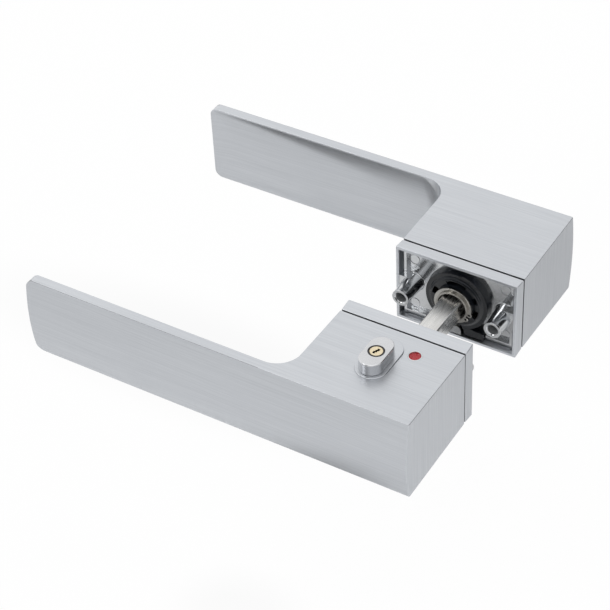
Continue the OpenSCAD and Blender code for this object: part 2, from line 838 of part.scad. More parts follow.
module key_core() {
    slot_w = 0.85;
    core_sunk = 0.05;
    at_knob() difference() {
        rod_z(core_r, knob_top - core_len, knob_top - core_sunk);
        slab_z(knob_top - key_slot_deep, knob_top + past) for (i = [-1, 0, 1])
            translate([i * slot_w / 2, -i * slot_w]) square([slot_w, 1.4 * slot_w], center = true);
    }
}

// Arm on the stem, with a seat for a coloured pad at each end
module indicator_arm() {
    hub_r = 5.1;
    at_knob() difference() {
        union() {
            rod_z(hub_r, cam_top, arm_top);
            slab_z(arm_z, arm_top) for (a = pad_places()) intersection() {
                circle(r = swing_r);
                slice(2 * swing_r, a - pad_angle, a + pad_angle);
            }
        }
        slab_z(cam_top - past, arm_top + past) square(drive_s + 2 * slip_gap, center = true);
    }
}

// The red pad lies under the window at rest, and the green pad a quarter turn away
function pad_places() = [-dot_angle, turn - dot_angle];

module pad(angle) {
    at_knob() slab_z(arm_top, pad_top) intersection() {
        ring(dot_radius - pad_half, swing_r);
        slice(2 * swing_r, angle - pad_angle, angle + pad_angle);
    }
}

module indicator_bezel() {
    proud = 0.05;
    translate([dot_x, dot_y, 0]) slab_z(groove_z, head_top(dot_y) + proud) ring(dot_r, dot_r + bezel_w - slip_gap);
}

module indicator_lens() {
    translate([dot_x, dot_y, 0]) rod_z(dot_r - slip_gap, groove_z, head_top(dot_y));
}

// Cam and bolt

function cam_path(a) = pin_in + bolt_travel * a / turn;

module cam_disc() {
    step = 5;
    slot_end = 0.06;
    inner = [for (a = [0:step:turn]) [cos(-a), sin(-a)] * (cam_path(a) - slot_half)];
    outer = [for (a = [turn:-step:0]) [cos(-a), sin(-a)] * (cam_path(a) + slot_half)];
    at_knob() difference() {
        slab_z(cam_z, cam_top) difference() {
            circle(r = cam_r);
            polygon(concat(inner, outer));
            translate([pin_in, 0]) circle(r = slot_half + slot_end);
            rotate(-turn) translate([pin_out, 0]) circle(r = slot_half + slot_end);
            square(drive_s + 2 * slip_gap, center = true);
        }
        cam_screw_shape(slip_gap);
    }
}

module cam_screw_shape(room) {
    head_r = 3.2;
    head_t = 0.5;
    shank_r = 1;
    length = 3;
    rod_z(head_r + room, cam_z - past, cam_z + head_t);
    rod_z(shank_r + room, cam_z - past, cam_z + length);
}

module cam_screw() {
    at_knob() difference() {
        intersection() {
            cam_screw_shape(0);
            rod_z(cam_r, cam_z, knob_z);
        }
        slab_z(cam_z - past, cam_z + 0.3) square([4, 0.7], center = true);
    }
}

module lock_bolt() {
    behind = 2.5;
    pin_tip = 0.2;
    slab_y(head_y - bolt_out, pin_y + behind) translate([-bolt_w / 2, bolt_z]) square([bolt_w, bolt_h]);
    translate([0, pin_y, 0]) rod_z(pin_r, bolt_top - bite, cam_top - pin_tip);
}

// Block on the end plate that the bolt slides in
module bolt_guide() {
    wall = 1.7;
    floor_t = 0.5;
    room = 0.1;
    guide_y = knob_y - cam_r - 0.3;
    slab_y(plate_in, guide_y) difference() {
        translate([-bolt_w / 2 - wall, bolt_z - room - floor_t]) square([bolt_w + 2 * wall, bolt_h + 2 * (room + floor_t)]);
        translate([-bolt_w / 2 - room, bolt_z - room]) square([bolt_w + 2 * room, bolt_h + 2 * room]);
    }
}

module front_lever() color(satin) half(true) lever(true);
module rear_lever() color(satin) lever(false);
module front_end_plate() color(steel) half(true) end_plate(true);
module rear_end_plate() color(steel) end_plate(false);
module front_neck() color(steel) half(true) neck();
module rear_neck() color(steel) neck();
module front_circlip() color(steel) half(true) circlip();
module rear_circlip() color(steel) circlip();
module front_rose_cover() color(satin) half(true) rose_cover(true);
module rear_rose_cover() color(satin) rose_cover(false);
module front_rose_base() color(cast) half(true) rose_base(true);
module rear_rose_base() color(cast) rose_base(false);
module front_cassette() half(true) cassette();
module rear_cassette() cassette();
module front_return_spring() color(steel) half(true) return_spring();
module rear_return_spring() color(steel) return_spring();
module front_slide_washer() color(black) half(true) slide_washer();
module rear_slide_washer() color(black) slide_washer();
module red_pad() color("firebrick") pad(pad_places()[0]);
module green_pad() color("seagreen") pad(pad_places()[1]);

front_lever();
rear_lever();
front_end_plate();
rear_end_plate();
front_neck();
rear_neck();
front_circlip();
rear_circlip();
color(steel) spindle();
color(steel) grub_screw_set();  // grub_screws
color(steel) plate_screw_set();  // plate_screws
front_rose_cover();
rear_rose_cover();
front_rose_base();
rear_rose_base();
front_cassette();
rear_cassette();
front_return_spring();
rear_return_spring();
front_slide_washer();
rear_slide_washer();
color(satin) half(true) knob_plate();
color(satin) half(true) privacy_knob();
color(black) half(true) key_ring();
color(brass) half(true) key_core();
color(steel) half(true) indicator_arm();
half(true) red_pad();
half(true) green_pad();
color("lightgray") half(true) indicator_bezel();
color("lightblue") half(true) indicator_lens();
color(steel) half(true) cam_disc();
color(steel) half(true) cam_screw();
color(steel) half(true) lock_bolt();
color(steel) half(true) bolt_guide();
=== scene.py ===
# %% [markdown]
# # Bathroom door handle
# Two flat lever handles on slim roses, joined by a square spindle. The front half carries a keyed privacy
# knob and a red and green indicator. The solids come from the CAD frame and stay where they are. This
# lesson gives them their finish: edges that catch light, metal, moulded plastic, and a plain studio.

# %% Load the frame
import math

import bmesh
import bpy
from mathutils import Matrix, Vector


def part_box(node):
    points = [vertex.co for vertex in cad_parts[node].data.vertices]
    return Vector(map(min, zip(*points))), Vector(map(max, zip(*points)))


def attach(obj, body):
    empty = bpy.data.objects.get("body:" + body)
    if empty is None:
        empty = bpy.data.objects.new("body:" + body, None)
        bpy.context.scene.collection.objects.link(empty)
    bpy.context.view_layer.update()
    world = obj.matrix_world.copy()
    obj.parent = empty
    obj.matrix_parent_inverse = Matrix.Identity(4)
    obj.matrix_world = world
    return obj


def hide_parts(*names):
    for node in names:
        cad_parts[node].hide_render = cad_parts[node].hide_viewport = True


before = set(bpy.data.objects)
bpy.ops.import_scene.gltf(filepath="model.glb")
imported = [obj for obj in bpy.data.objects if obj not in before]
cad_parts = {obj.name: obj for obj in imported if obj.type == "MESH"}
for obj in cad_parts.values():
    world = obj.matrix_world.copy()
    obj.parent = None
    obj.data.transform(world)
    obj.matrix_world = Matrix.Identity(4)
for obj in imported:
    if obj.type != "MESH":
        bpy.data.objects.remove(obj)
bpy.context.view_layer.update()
MM = 0.001


def box_mm(node):
    """Middle, size, low corner and high corner of a node's box, in millimetres."""
    low, high = (Vector(corner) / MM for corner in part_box(node))
    return (low + high) / 2, high - low, low, high


def new_object(name, data):
    thing = bpy.data.objects.new(name, data)
    bpy.context.scene.collection.objects.link(thing)
    return thing


# %% [markdown]
# ## Camera
# The picture is taken from the front right and well above, with a long lens and a slight roll. The camera
# is built from its direction: back points from the handle to the lens, and right and up span the picture.
# Angles are in degrees, and the lens is given in pixels of the picture.

# %% Camera
AZIMUTH, ELEVATION, ROLL = 33.213, 40.602, -3.122
DISTANCE, SIDE_SHIFT, UP_SHIFT = 709.7 * MM, -46.6 * MM, 8.8 * MM
LENS_PX, IMAGE_PX = 1953.4, 610


def place_camera():
    a, e, r = (math.radians(v) for v in (AZIMUTH, ELEVATION, ROLL))
    back = Vector((math.sin(a) * math.cos(e), -math.cos(a) * math.cos(e), math.sin(e)))
    level = (-back).cross(Vector((0, 0, 1))).normalized()
    rise = level.cross(-back)
    right = math.cos(r) * level + math.sin(r) * rise
    up = -math.sin(r) * level + math.cos(r) * rise
    data = bpy.data.cameras.new("camera")
    data.sensor_width = 36
    data.lens = LENS_PX / IMAGE_PX * data.sensor_width
    data.clip_start, data.clip_end = 0.01, 20
    camera = new_object("camera", data)
    turn = Matrix((right, up, back)).transposed().to_4x4()
    camera.matrix_world = Matrix.Translation(back * DISTANCE + right * SIDE_SHIFT + up * UP_SHIFT) @ turn
    bpy.context.scene.camera = camera
    print("camera lens", round(data.lens, 1), "mm")


place_camera()

# %% [markdown]
# ## Node helpers
# The sky, the floor and every finish are node trees, and these helpers build them.

# %% Node helpers
def link(tree, source, target):
    tree.links.new(source, target)


def new_node(tree, kind, values=None, **settings):
    """Add a node with its settings and the values of its inputs."""
    node = tree.nodes.new(kind)
    for name, value in settings.items():
        setattr(node, name, value)
    for name, value in (values or {}).items():
        node.inputs[name].default_value = value
    return node


def math_node(tree, operation, source, second=0.5):
    node = new_node(tree, "ShaderNodeMath", {1: second}, operation=operation)
    link(tree, source, node.inputs[0])
    return node


def vector_node(tree, operation, source, values=None):
    node = new_node(tree, "ShaderNodeVectorMath", values, operation=operation)
    link(tree, source, node.inputs[0])
    return node


def noise(tree, vector, scale, detail=3, roughness=0.55):
    values = {"Scale": scale, "Detail": detail, "Roughness": roughness}
    node = new_node(tree, "ShaderNodeTexNoise", values)
    link(tree, vector, node.inputs["Vector"])
    return node.outputs["Fac"]


def stretched(tree, vector, scale):
    node = new_node(tree, "ShaderNodeMapping", {"Scale": scale})
    link(tree, vector, node.inputs["Vector"])
    return node.outputs["Vector"]


def ranged(tree, value, low, high, from_low=0.3, from_high=0.7, kind="LINEAR"):
    values = {"From Min": from_low, "From Max": from_high, "To Min": low, "To Max": high}
    node = new_node(tree, "ShaderNodeMapRange", values, interpolation_type=kind)
    link(tree, value, node.inputs["Value"])
    return node.outputs["Result"]


def blended(tree, factor, dark, light):
    node = new_node(tree, "ShaderNodeMix", data_type="RGBA")
    for socket, value in ((node.inputs["A"], dark), (node.inputs["B"], light)):
        if isinstance(value, tuple):
            socket.default_value = (*value, 1)
        else:
            link(tree, value, socket)
    link(tree, factor, node.inputs["Factor"])
    return node.outputs["Result"]


def bumped(tree, shader, height, strength, distance):
    node = new_node(tree, "ShaderNodeBump", {"Strength": strength, "Distance": distance})
    link(tree, height, node.inputs["Height"])
    link(tree, node.outputs["Normal"], shader.inputs["Normal"])


def object_place(tree):
    return tree.nodes.new("ShaderNodeTexCoord").outputs["Object"]


def face_mark(tree, name):
    return new_node(tree, "ShaderNodeAttribute", attribute_name=name).outputs["Fac"]


def two_looks(tree, true_look, seen, share, kind):
    """The camera sees a share of the second look; all other rays meet the first."""
    path = tree.nodes.new("ShaderNodeLightPath")
    part = math_node(tree, "MULTIPLY", path.outputs["Is Camera Ray"], share)
    choose = tree.nodes.new("ShaderNodeMixShader")
    out = tree.nodes.new(kind)
    link(tree, part.outputs[0], choose.inputs["Fac"])
    link(tree, true_look.outputs[0], choose.inputs[1])
    link(tree, seen.outputs[0], choose.inputs[2])
    link(tree, choose.outputs[0], out.inputs["Surface"])


print("node helpers are ready")

# %% [markdown]
# ## Light, floor and background
# Satin metal shows what is around it. A bright sky all round, a pale floor well below the handle and one
# soft lamp give each face its own even grey. The camera sees the floor and the sky as white; the metal sees
# their softer levels, with painted shade on the floor. Bright and dark patches in the sky stand in for a
# studio's panels.

# %% World
SKY_LEFT, SKY_RIGHT = (1.0, 1.0, 0.995), (0.60, 0.605, 0.61)
SKY_STRENGTH = 1.18
# Each patch: where it is seen from the handle, where its edge starts and ends in degrees, its brightness
PATCHES = (
    ((-0.42, 0.63, 0.65), 12, 50, 1.03),
    ((0.65, 0.635, 0.415), 14, 30, 0.03),
    ((-0.42, -0.65, 0.63), 12, 34, 0.12),
    ((0.10, -0.20, 0.97), 10, 50, 1.5),
)


def patched(tree, direction, colour, patch):
    toward, inner, outer, gain = patch
    near = vector_node(tree, "DOT_PRODUCT", direction, {1: Vector(toward).normalized()})
    ends = [math.cos(math.radians(angle)) for angle in (outer, inner)]
    scaled = vector_node(tree, "SCALE", colour)
    link(tree, ranged(tree, near.outputs["Value"], 1, gain, *ends, "SMOOTHSTEP"), scaled.inputs["Scale"])
    return scaled.outputs["Vector"]


def make_world():
    world = bpy.data.worlds.new("studio")
    bpy.context.scene.world = world
    world.use_nodes = True
    tree = world.node_tree
    tree.nodes.clear()
    direction = tree.nodes.new("ShaderNodeTexCoord").outputs["Generated"]
    along = vector_node(tree, "DOT_PRODUCT", direction, {1: (1, 0, 0)})
    colour = blended(tree, ranged(tree, along.outputs["Value"], 0, 1, -1, 1), SKY_LEFT, SKY_RIGHT)
    for patch in PATCHES:
        colour = patched(tree, direction, colour, patch)
    soft = new_node(tree, "ShaderNodeBackground", {"Strength": SKY_STRENGTH})
    link(tree, colour, soft.inputs["Color"])
    white = new_node(tree, "ShaderNodeBackground", {"Color": (1, 1, 1, 1)})
    two_looks(tree, soft, white, 1, "ShaderNodeOutputWorld")


make_world()
print("sky patches:", len(PATCHES))

# %% Lamp
LAMP_PLACE, LAMP_AIM = Vector((-0.70, -0.76, 0.88)), Vector((-0.03, -0.03, 0))
LAMP_SIZE, LAMP_WATTS = 0.42, 1.9


def make_lamp():
    data = bpy.data.lights.new("lamp_left", "AREA")
    data.shape, data.size, data.energy = "DISK", LAMP_SIZE, LAMP_WATTS
    lamp = new_object("lamp_left", data)
    lamp.location = LAMP_PLACE
    lamp.rotation_mode = "QUATERNION"
    lamp.rotation_quaternion = (LAMP_AIM - LAMP_PLACE).to_track_quat("-Z", "Y")


make_lamp()
print("lamp:", LAMP_SIZE, "m wide,", LAMP_WATTS, "W")

# %% Floor
FLOOR_Z, FLOOR_SPAN = -0.10, 6
# Painted shade on the floor: its tone goes from the first to the second of each pair while X + Y goes
# through the range, so it is darker towards the front left
TONE_RANGE, PAINTED_FLOOR_TONES = (-0.42, -0.10), (0.82, 0.95)
# The camera sees this share of the white glow; the rest is the lit floor with its shadow
GLOW_SHARE = 0.95
# Shaded places that the metal mirrors: middle, half length along X and Y, darkest tone
SHADES = (
    ((-0.040, -0.081), (0.036, 0.031), 0.22),
    ((-0.140, 0.034), (0.140, 0.044), 0.02),
    ((0.130, 0.230), (0.220, 0.220), 0.74),
)


def shaded(tree, place, level, middle, reach, darkest):
    scale, back = (1 / reach[0], 1 / reach[1], 0), (-middle[0] / reach[0], -middle[1] / reach[1], 0)
    away = vector_node(tree, "MULTIPLY_ADD", place, {1: scale, 2: back})
    far = vector_node(tree, "LENGTH", away.outputs["Vector"]).outputs["Value"]
    both = math_node(tree, "MULTIPLY", level)
    link(tree, ranged(tree, far, darkest, 1, 0.25, 1, "SMOOTHSTEP"), both.inputs[1])
    return both.outputs[0]


def make_floor():
    mesh = bpy.data.meshes.new("floor")
    corners = [(x * FLOOR_SPAN, y * FLOOR_SPAN, FLOOR_Z) for x, y in ((-1, -1), (1, -1), (1, 1), (-1, 1))]
    mesh.from_pydata(corners, [], [(0, 1, 2, 3)])
    floor = new_object("floor", mesh)
    material = bpy.data.materials.new("pale_floor")
    material.use_nodes = True
    tree = material.node_tree
    tree.nodes.clear()
    place = object_place(tree)
    across = vector_node(tree, "DOT_PRODUCT", place, {1: (1, 1, 0)})
    # Painted shade on the floor: a darker tone towards the front left, and the shaded places below
    level = ranged(tree, across.outputs["Value"], *PAINTED_FLOOR_TONES, *TONE_RANGE)
    for shade in SHADES:
        level = shaded(tree, place, level, *shade)
    matt = tree.nodes.new("ShaderNodeBsdfDiffuse")
    link(tree, level, matt.inputs["Color"])
    glow = new_node(tree, "ShaderNodeEmission", {"Color": (1, 1, 1, 1)})
    two_looks(tree, matt, glow, GLOW_SHARE, "ShaderNodeOutputMaterial")
    mesh.materials.append(material)


make_floor()
print("floor at", FLOOR_Z, "m with", len(SHADES), "shaded places")

# %% [markdown]
# ## Finishes
# Every finish is one Principled shader. What varies over the surface, such as colour, roughness and
# height, comes from noise textures. What is the same everywhere, such as metallic, is set on the shader.

# %% New finish
def new_finish(name, metallic, roughness, colour):
    material = bpy.data.materials.new(name)
    material.use_nodes = True
    tree = material.node_tree
    shader = tree.nodes["Principled BSDF"]
    shader.inputs["Metallic"].default_value = metallic
    shader.inputs["Roughness"].default_value = roughness
    shader.inputs["Base Color"].default_value = (*colour, 1)
    material.diffuse_color = (*colour, 1)
    return material, tree, shader


print("materials so far:", [m.name for m in bpy.data.materials])

# %% [markdown]
# ### Brushed satin aluminium
# Brushing leaves fine, slightly wavy lines along each face. The lines need a direction that turns with the
# face, so each brushed piece gets a UV map named grain, in metres, whose first axis runs along the lines.
# One noise is stretched hard along it for the lines, and a second, softer one for broad bands. A third,
# slow one bends both a little. Where a face carries the painted shade mark, its colour goes darker: painted
# shade.

# %% Brushed satin
# Colour of the painted shade at its full level
PAINTED_SHADE_DARK = (0.012, 0.012, 0.014)
# Shares of fine lines and broad bands, and how far, in metres, the slow noise bends them
FINE, BROAD, BEND = 0.78, 0.22, 0.0014


def with_painted_shade(tree, colour):
    """Painted shade: where a face carries the mark, its colour goes darker, and nearly black at the full
    level.
    """
    return blended(tree, face_mark(tree, "dull"), colour, PAINTED_SHADE_DARK)


def brushed_satin(name, dark, light, low_rough, high_rough):
    material, tree, shader = new_finish(name, 1.0, 0.35, light)
    grain = new_node(tree, "ShaderNodeUVMap", uv_map="grain")
    wave = noise(tree, stretched(tree, grain.outputs["UV"], (22, 90, 1)), 1, 2)
    lift = vector_node(tree, "MULTIPLY_ADD", wave, {1: (0, BEND, 0)})
    link(tree, grain.outputs["UV"], lift.inputs[2])
    fine = noise(tree, stretched(tree, lift.outputs["Vector"], (22, 1700, 1)), 1, 4, 0.7)
    broad = noise(tree, stretched(tree, lift.outputs["Vector"], (8, 520, 1)), 1, 3, 0.6)
    cloud = noise(tree, stretched(tree, grain.outputs["UV"], (18, 30, 1)), 1, 2)
    mixed = math_node(tree, "MULTIPLY_ADD", fine, FINE)
    link(tree, ranged(tree, broad, 0, BROAD, 0, 1), mixed.inputs[2])
    streak = blended(tree, ranged(tree, mixed.outputs[0], 0, 1, 0.36, 0.64), dark, light)
    tint = blended(tree, ranged(tree, cloud, 0, 0.25, 0.35, 0.7), streak, light)
    # Painted shade goes over the brushed colour where a face is marked
    link(tree, with_painted_shade(tree, tint), shader.inputs["Base Color"])
    link(tree, ranged(tree, mixed.outputs[0], high_rough, low_rough, 0.36, 0.64), shader.inputs["Roughness"])
    shader.inputs["Anisotropic"].default_value = 0.45
    tangent = new_node(tree, "ShaderNodeTangent", direction_type="UV_MAP", uv_map="grain")
    link(tree, tangent.outputs[0], shader.inputs["Tangent"])
    bumped(tree, shader, mixed.outputs[0], 0.25, 0.00002)
    return material


satin = brushed_satin("satin_aluminium", (0.54, 0.558, 0.588), (0.605, 0.623, 0.652), 0.33, 0.42)
print("brushed finish:", satin.name)

# %% [markdown]
# ### Bright die-casting, steel and brass
# A plated casting is smooth to the touch but never quite flat: broad, shallow dents bend its reflections
# and fine pits soften them. Drawn steel has lines along its length, and turned brass has lines round it.
# The drilled bores of a casting aren't plated: faces with the mark named bore are paler and rougher.

# %% Casting, steel and brass
BORE_TONE, BORE_ROUGHER = (0.62, 0.63, 0.64), 0.45


def cast_metal(name, dark, light, rough, waves=0.04):
    material, tree, shader = new_finish(name, 1.0, rough, light)
    place = object_place(tree)
    dents = noise(tree, place, 170, 1)
    pits = noise(tree, place, 1900, 3)
    cloud = noise(tree, place, 90, 4)
    bore = face_mark(tree, "bore")
    tone = blended(tree, ranged(tree, cloud, 0, 1), dark, light)
    link(tree, blended(tree, bore, tone, BORE_TONE), shader.inputs["Base Color"])
    duller = math_node(tree, "MULTIPLY_ADD", bore, BORE_ROUGHER)
    link(tree, ranged(tree, pits, rough * 0.8, rough * 1.5), duller.inputs[2])
    link(tree, duller.outputs[0], shader.inputs["Roughness"])
    joined = math_node(tree, "MULTIPLY_ADD", pits, 0.02)
    link(tree, dents, joined.inputs[2])
    bumped(tree, shader, joined.outputs[0], waves, 0.0005)
    return material


def drawn_metal(name, dark, light, rough, scale, depth=0.2):
    material, tree, shader = new_finish(name, 1.0, rough, light)
    place = object_place(tree)
    lines = noise(tree, stretched(tree, place, scale), 1, 4, 0.6)
    spots = noise(tree, place, 300, 4)
    tone = blended(tree, ranged(tree, lines, 0, 1), dark, light)
    spotted = blended(tree, ranged(tree, spots, 0, 0.3), tone, dark)
    # Painted shade goes over the drawn colour where a face is marked
    link(tree, with_painted_shade(tree, spotted), shader.inputs["Base Color"])
    link(tree, ranged(tree, lines, rough * 1.25, rough * 0.85), shader.inputs["Roughness"])
    bumped(tree, shader, lines, depth, 0.00003)
    return material


ALONG_BAR, EVEN, COIL, TURNED = (1200, 40, 1200), (120, 120, 120), (200, 200, 200), (1500, 1500, 300)
casting = cast_metal("plated_casting", (0.53, 0.54, 0.555), (0.59, 0.60, 0.61), 0.12)
bar_steel = drawn_metal("spindle_steel", (0.62, 0.615, 0.60), (0.76, 0.755, 0.74), 0.26, ALONG_BAR, 0.08)
plain_steel = drawn_metal("plated_steel", (0.30, 0.29, 0.27), (0.42, 0.405, 0.38), 0.17, EVEN, 0.05)
spring_steel = drawn_metal("spring_steel", (0.36, 0.35, 0.33), (0.52, 0.505, 0.475), 0.17, COIL, 0.05)
knob_metal = cast_metal("polished_knob", (0.58, 0.585, 0.60), (0.64, 0.645, 0.66), 0.17, 0.02)
brass = drawn_metal("key_brass", (0.66, 0.54, 0.34), (0.86, 0.78, 0.60), 0.28, TURNED)
print("metals:", [m.name for m in (casting, bar_steel, plain_steel, spring_steel, knob_metal, brass)])

# %% [markdown]
# ### Plastics
# The spring cassette is moulded from dark glass-filled nylon: slightly cloudy in colour, satin, with a
# very fine grain. The indicator pads and the ring round the key are smooth and glossy. The window over the
# pads is clear, with so low a bend that the pad under it keeps its place and shape.

# %% Plastics
def moulded(name, dark, light, rough, grain=1800, depth=0.2):
    material, tree, shader = new_finish(name, 0.0, rough, light)
    place = object_place(tree)
    cloud = noise(tree, place, 160, 4)
    fine = noise(tree, place, grain, 3)
    link(tree, blended(tree, ranged(tree, cloud, 0, 1), dark, light), shader.inputs["Base Color"])
    link(tree, ranged(tree, fine, rough * 0.85, rough * 1.2), shader.inputs["Roughness"])
    bumped(tree, shader, fine, depth, 0.00004)
    return material


nylon = moulded("cassette_nylon", (0.004, 0.0055, 0.008), (0.008, 0.010, 0.014), 0.20, 900, 0.04)
black = moulded("black_plastic", (0.006, 0.006, 0.007), (0.012, 0.012, 0.014), 0.25)
red = moulded("red_plastic", (0.50, 0.003, 0.012), (0.58, 0.005, 0.016), 0.40, 900, 0.05)
green = moulded("green_plastic", (0.02, 0.24, 0.07), (0.03, 0.30, 0.09), 0.28, 900, 0.05)
pale = moulded("pale_ring", (0.62, 0.68, 0.69), (0.72, 0.78, 0.79), 0.30, 900, 0.05)
slide_plastic = moulded("slide_plastic", (0.42, 0.42, 0.41), (0.50, 0.50, 0.49), 0.45)


def clear_plastic():
    material, tree, shader = new_finish("clear_lens", 0.0, 0.04, (0.98, 0.98, 0.98))
    shader.inputs["Transmission Weight"].default_value = 1.0
    shader.inputs["IOR"].default_value = 1.2
    haze = noise(tree, object_place(tree), 700, 2)
    link(tree, ranged(tree, haze, 0.02, 0.08), shader.inputs["Roughness"])
    return material


lens = clear_plastic()
print("plastics:", [m.name for m in (nylon, black, red, green, pale, slide_plastic, lens)])

# %% [markdown]
# ## From loose triangles to a finished mesh
# A CAD node arrives as loose triangles with knife edges. Real edges are never that sharp: a tenth of a
# millimetre is enough to catch light. So a copy is merged, its flat areas are joined, and a small bevel
# is cut along every edge. The result replaces the node.

# %% Mesh helpers
# Faces of a node that meet at less than this angle, in degrees, are one flat area
FLAT = 0.3


def new_piece(name, mesh, material):
    piece = new_object(name, mesh)
    if material is not None:
        mesh.materials.clear()
        mesh.materials.append(material)
    return piece


def piece_from(bm, name, material):
    bmesh.ops.recalc_face_normals(bm, faces=bm.faces)
    mesh = bpy.data.meshes.new(name)
    bm.to_mesh(mesh)
    bm.free()
    return new_piece(name, mesh, material)


def finished_copy(node, material):
    """A piece with the node's mesh, its loose triangles merged and its flat areas joined."""
    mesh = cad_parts[node].data.copy()
    bm = bmesh.new()
    bm.from_mesh(mesh)
    bmesh.ops.remove_doubles(bm, verts=bm.verts, dist=1e-6)
    bmesh.ops.dissolve_limit(bm, angle_limit=math.radians(FLAT), verts=bm.verts, edges=bm.edges)
    bm.to_mesh(mesh)
    bm.free()
    for layer in list(mesh.uv_layers):
        mesh.uv_layers.remove(layer)
    mesh.name = node + "_finished"
    return new_piece(mesh.name, mesh, material)


def evaluated_mesh(piece):
    graph = bpy.context.evaluated_depsgraph_get()
    mesh = bpy.data.meshes.new_from_object(piece.evaluated_get(graph))
    old = piece.data
    piece.modifiers.clear()
    piece.data = mesh
    bpy.data.meshes.remove(old)
    mesh.name = piece.name


def bevelled(piece, width, angle=35, segments=2):
    bevel = piece.modifiers.new("edges", "BEVEL")
    bevel.width = width * MM
    bevel.segments = segments
    bevel.limit_method = "ANGLE"
    bevel.angle_limit = math.radians(angle)
    bevel.use_clamp_overlap = True
    evaluated_mesh(piece)


def smoothed(piece, angle):
    mesh = piece.data
    mesh.shade_smooth()
    mesh.set_sharp_from_angle(angle=math.radians(angle))
    weigh = piece.modifiers.new("normals", "WEIGHTED_NORMAL")
    weigh.keep_sharp = True
    evaluated_mesh(piece)


def mark_faces(piece, name, level):
    """Give each face a level from 0 to 1, worked out from its middle, in mm, and its normal."""
    values = [float(level(face.center / MM, face.normal)) for face in piece.data.polygons]
    piece.data.attributes.new(name, "FLOAT", "FACE").data.foreach_set("value", values)
    print(piece.name, "has", sum(v > 0 for v in values), "faces marked", name)


def triangles(piece):
    return sum(len(p.vertices) - 2 for p in piece.data.polygons)


def settle(piece, body, slot, *nodes, angle=32):
    """Smooth the piece, unless the angle is None, and say what it rides on and replaces. The slot is not
    used.
    """
    if angle is not None:
        smoothed(piece, angle)
    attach(piece, body)
    if nodes:
        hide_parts(*nodes)
    print(piece.name, "rides on", body, "with", triangles(piece), "triangles")


def finished(node, body, slot, material, width):
    piece = finished_copy(node, material)
    bevelled(piece, width)
    settle(piece, body, slot, node)


def cut(piece, *cutters):
    for cutter in cutters:
        modifier = piece.modifiers.new("cut", "BOOLEAN")
        modifier.operation = "DIFFERENCE"
        modifier.solver = "EXACT"
        modifier.object = cutter
        evaluated_mesh(piece)
    for cutter in cutters:
        mesh = cutter.data
        bpy.data.objects.remove(cutter)
        bpy.data.meshes.remove(mesh)


print("mesh helpers are ready")

# %% [markdown]
# ### Simple solids
# One helper joins a stack of outlines, in millimetres, with quads and closes both ends. A prism is one
# outline pushed along an axis, and holes and pockets are cut with prisms.

# %% Prisms and outlines
def join_rings(bm, rings):
    for first, second in zip(rings, rings[1:]):
        for i in range(len(first)):
            j = (i + 1) % len(first)
            bm.faces.new((first[i], first[j], second[j], second[i]))


def tapered(name, sections, material=None):
    bm = bmesh.new()
    rings = [[bm.verts.new((x * MM, y * MM, z * MM)) for x, y, z in section] for section in sections]
    bm.faces.new(rings[0])
    bm.faces.new(rings[-1])
    join_rings(bm, rings)
    return piece_from(bm, name, material)


def prism(name, outline, start, end, axis):
    levels = sorted((start, end))
    if axis == "y":
        return tapered(name, [[(a, level, b) for a, b in outline] for level in levels])
    return tapered(name, [[(a, b, level) for a, b in outline] for level in levels])


def circle(x, y, r, count=96):
    turns = [2 * math.pi * k / count for k in range(count)]
    return [(x + r * math.cos(a), y + r * math.sin(a)) for a in turns]


def oblong(y, width, length, count=48):
    r, reach = width / 2, (length - width) / 2
    points = []
    for side in (1, -1):
        for k in range(count + 1):
            a = math.pi * k / count + (0 if side > 0 else math.pi)
            points.append((r * math.cos(a), y + side * reach + r * math.sin(a)))
    return points


def rectangle(x0, x1, y0, y1):
    return [(x0, y0), (x1, y0), (x1, y1), (x0, y1)]


print("points in a round outline:", len(circle(0, 0, 1)))

# %% [markdown]
# ## The lever
# The grip and the head are one form, so one loft makes them: a closed section that runs from the tip
# along the grip, turns the inside corner like a door, and ends at the rose. The inner wall carries the
# finger scoop, the outer wall bows out a little, and small rounds join them to the flat top and bottom.
# Every section has the same points, so neighbours join with quads all round. Sizes are in millimetres.

# %% Lever sizes
LEVER_LOW, LEVER_HIGH = box_mm("rear_lever")[2:]
TIP_X, SIDE_X = LEVER_LOW.x, LEVER_HIGH.x
# The head stands this much nearer the rose than its solid, for a thin joint line
JOINT_OVER = 0.3
HEAD_Y, CREST_Y = LEVER_LOW.y - JOINT_OVER, LEVER_HIGH.y
# Bow of the outer face, thickness of the grip, rise of its top from rose to outer face
BOW, GRIP_THICK, TAPER = 1.7, 4, 0.6
OUTER_Y = CREST_Y - BOW
GRIP_Y = OUTER_Y - GRIP_THICK
HEAD_HALF, OUTER_HALF = LEVER_HIGH.z - TAPER, LEVER_HIGH.z
# Radii: corners of the tip, inside corner, long edges, corner of the head, its rim at the rose
TIP_R, FILLET, EDGE, CORNER_R, RIM_R = 3.4, 9.4, 0.2, 0.5, 0.2
# Depth of the finger scoop at the head and near the tip, and the flat lip above and below it
SCOOP, SHALLOW, LIP = 2.8, 1.3, 0.5
# Where the scoop's ramp starts and ends, measured from the tip
RAMP_FROM, RAMP_TO = 1, 7
TURN_X, TURN_Y = -SIDE_X - FILLET, GRIP_Y - FILLET
SCOOP_X = TURN_X - SCOOP
MOUTH = OUTER_HALF - LIP
ARC_R = MOUTH * MOUTH / (2 * SCOOP) + SCOOP / 2
BOW_R = OUTER_HALF * OUTER_HALF / (2 * BOW) + BOW / 2
print("lever from", round(TIP_X, 1), "to", round(SIDE_X, 1), "mm, outer face at", round(OUTER_Y, 2))

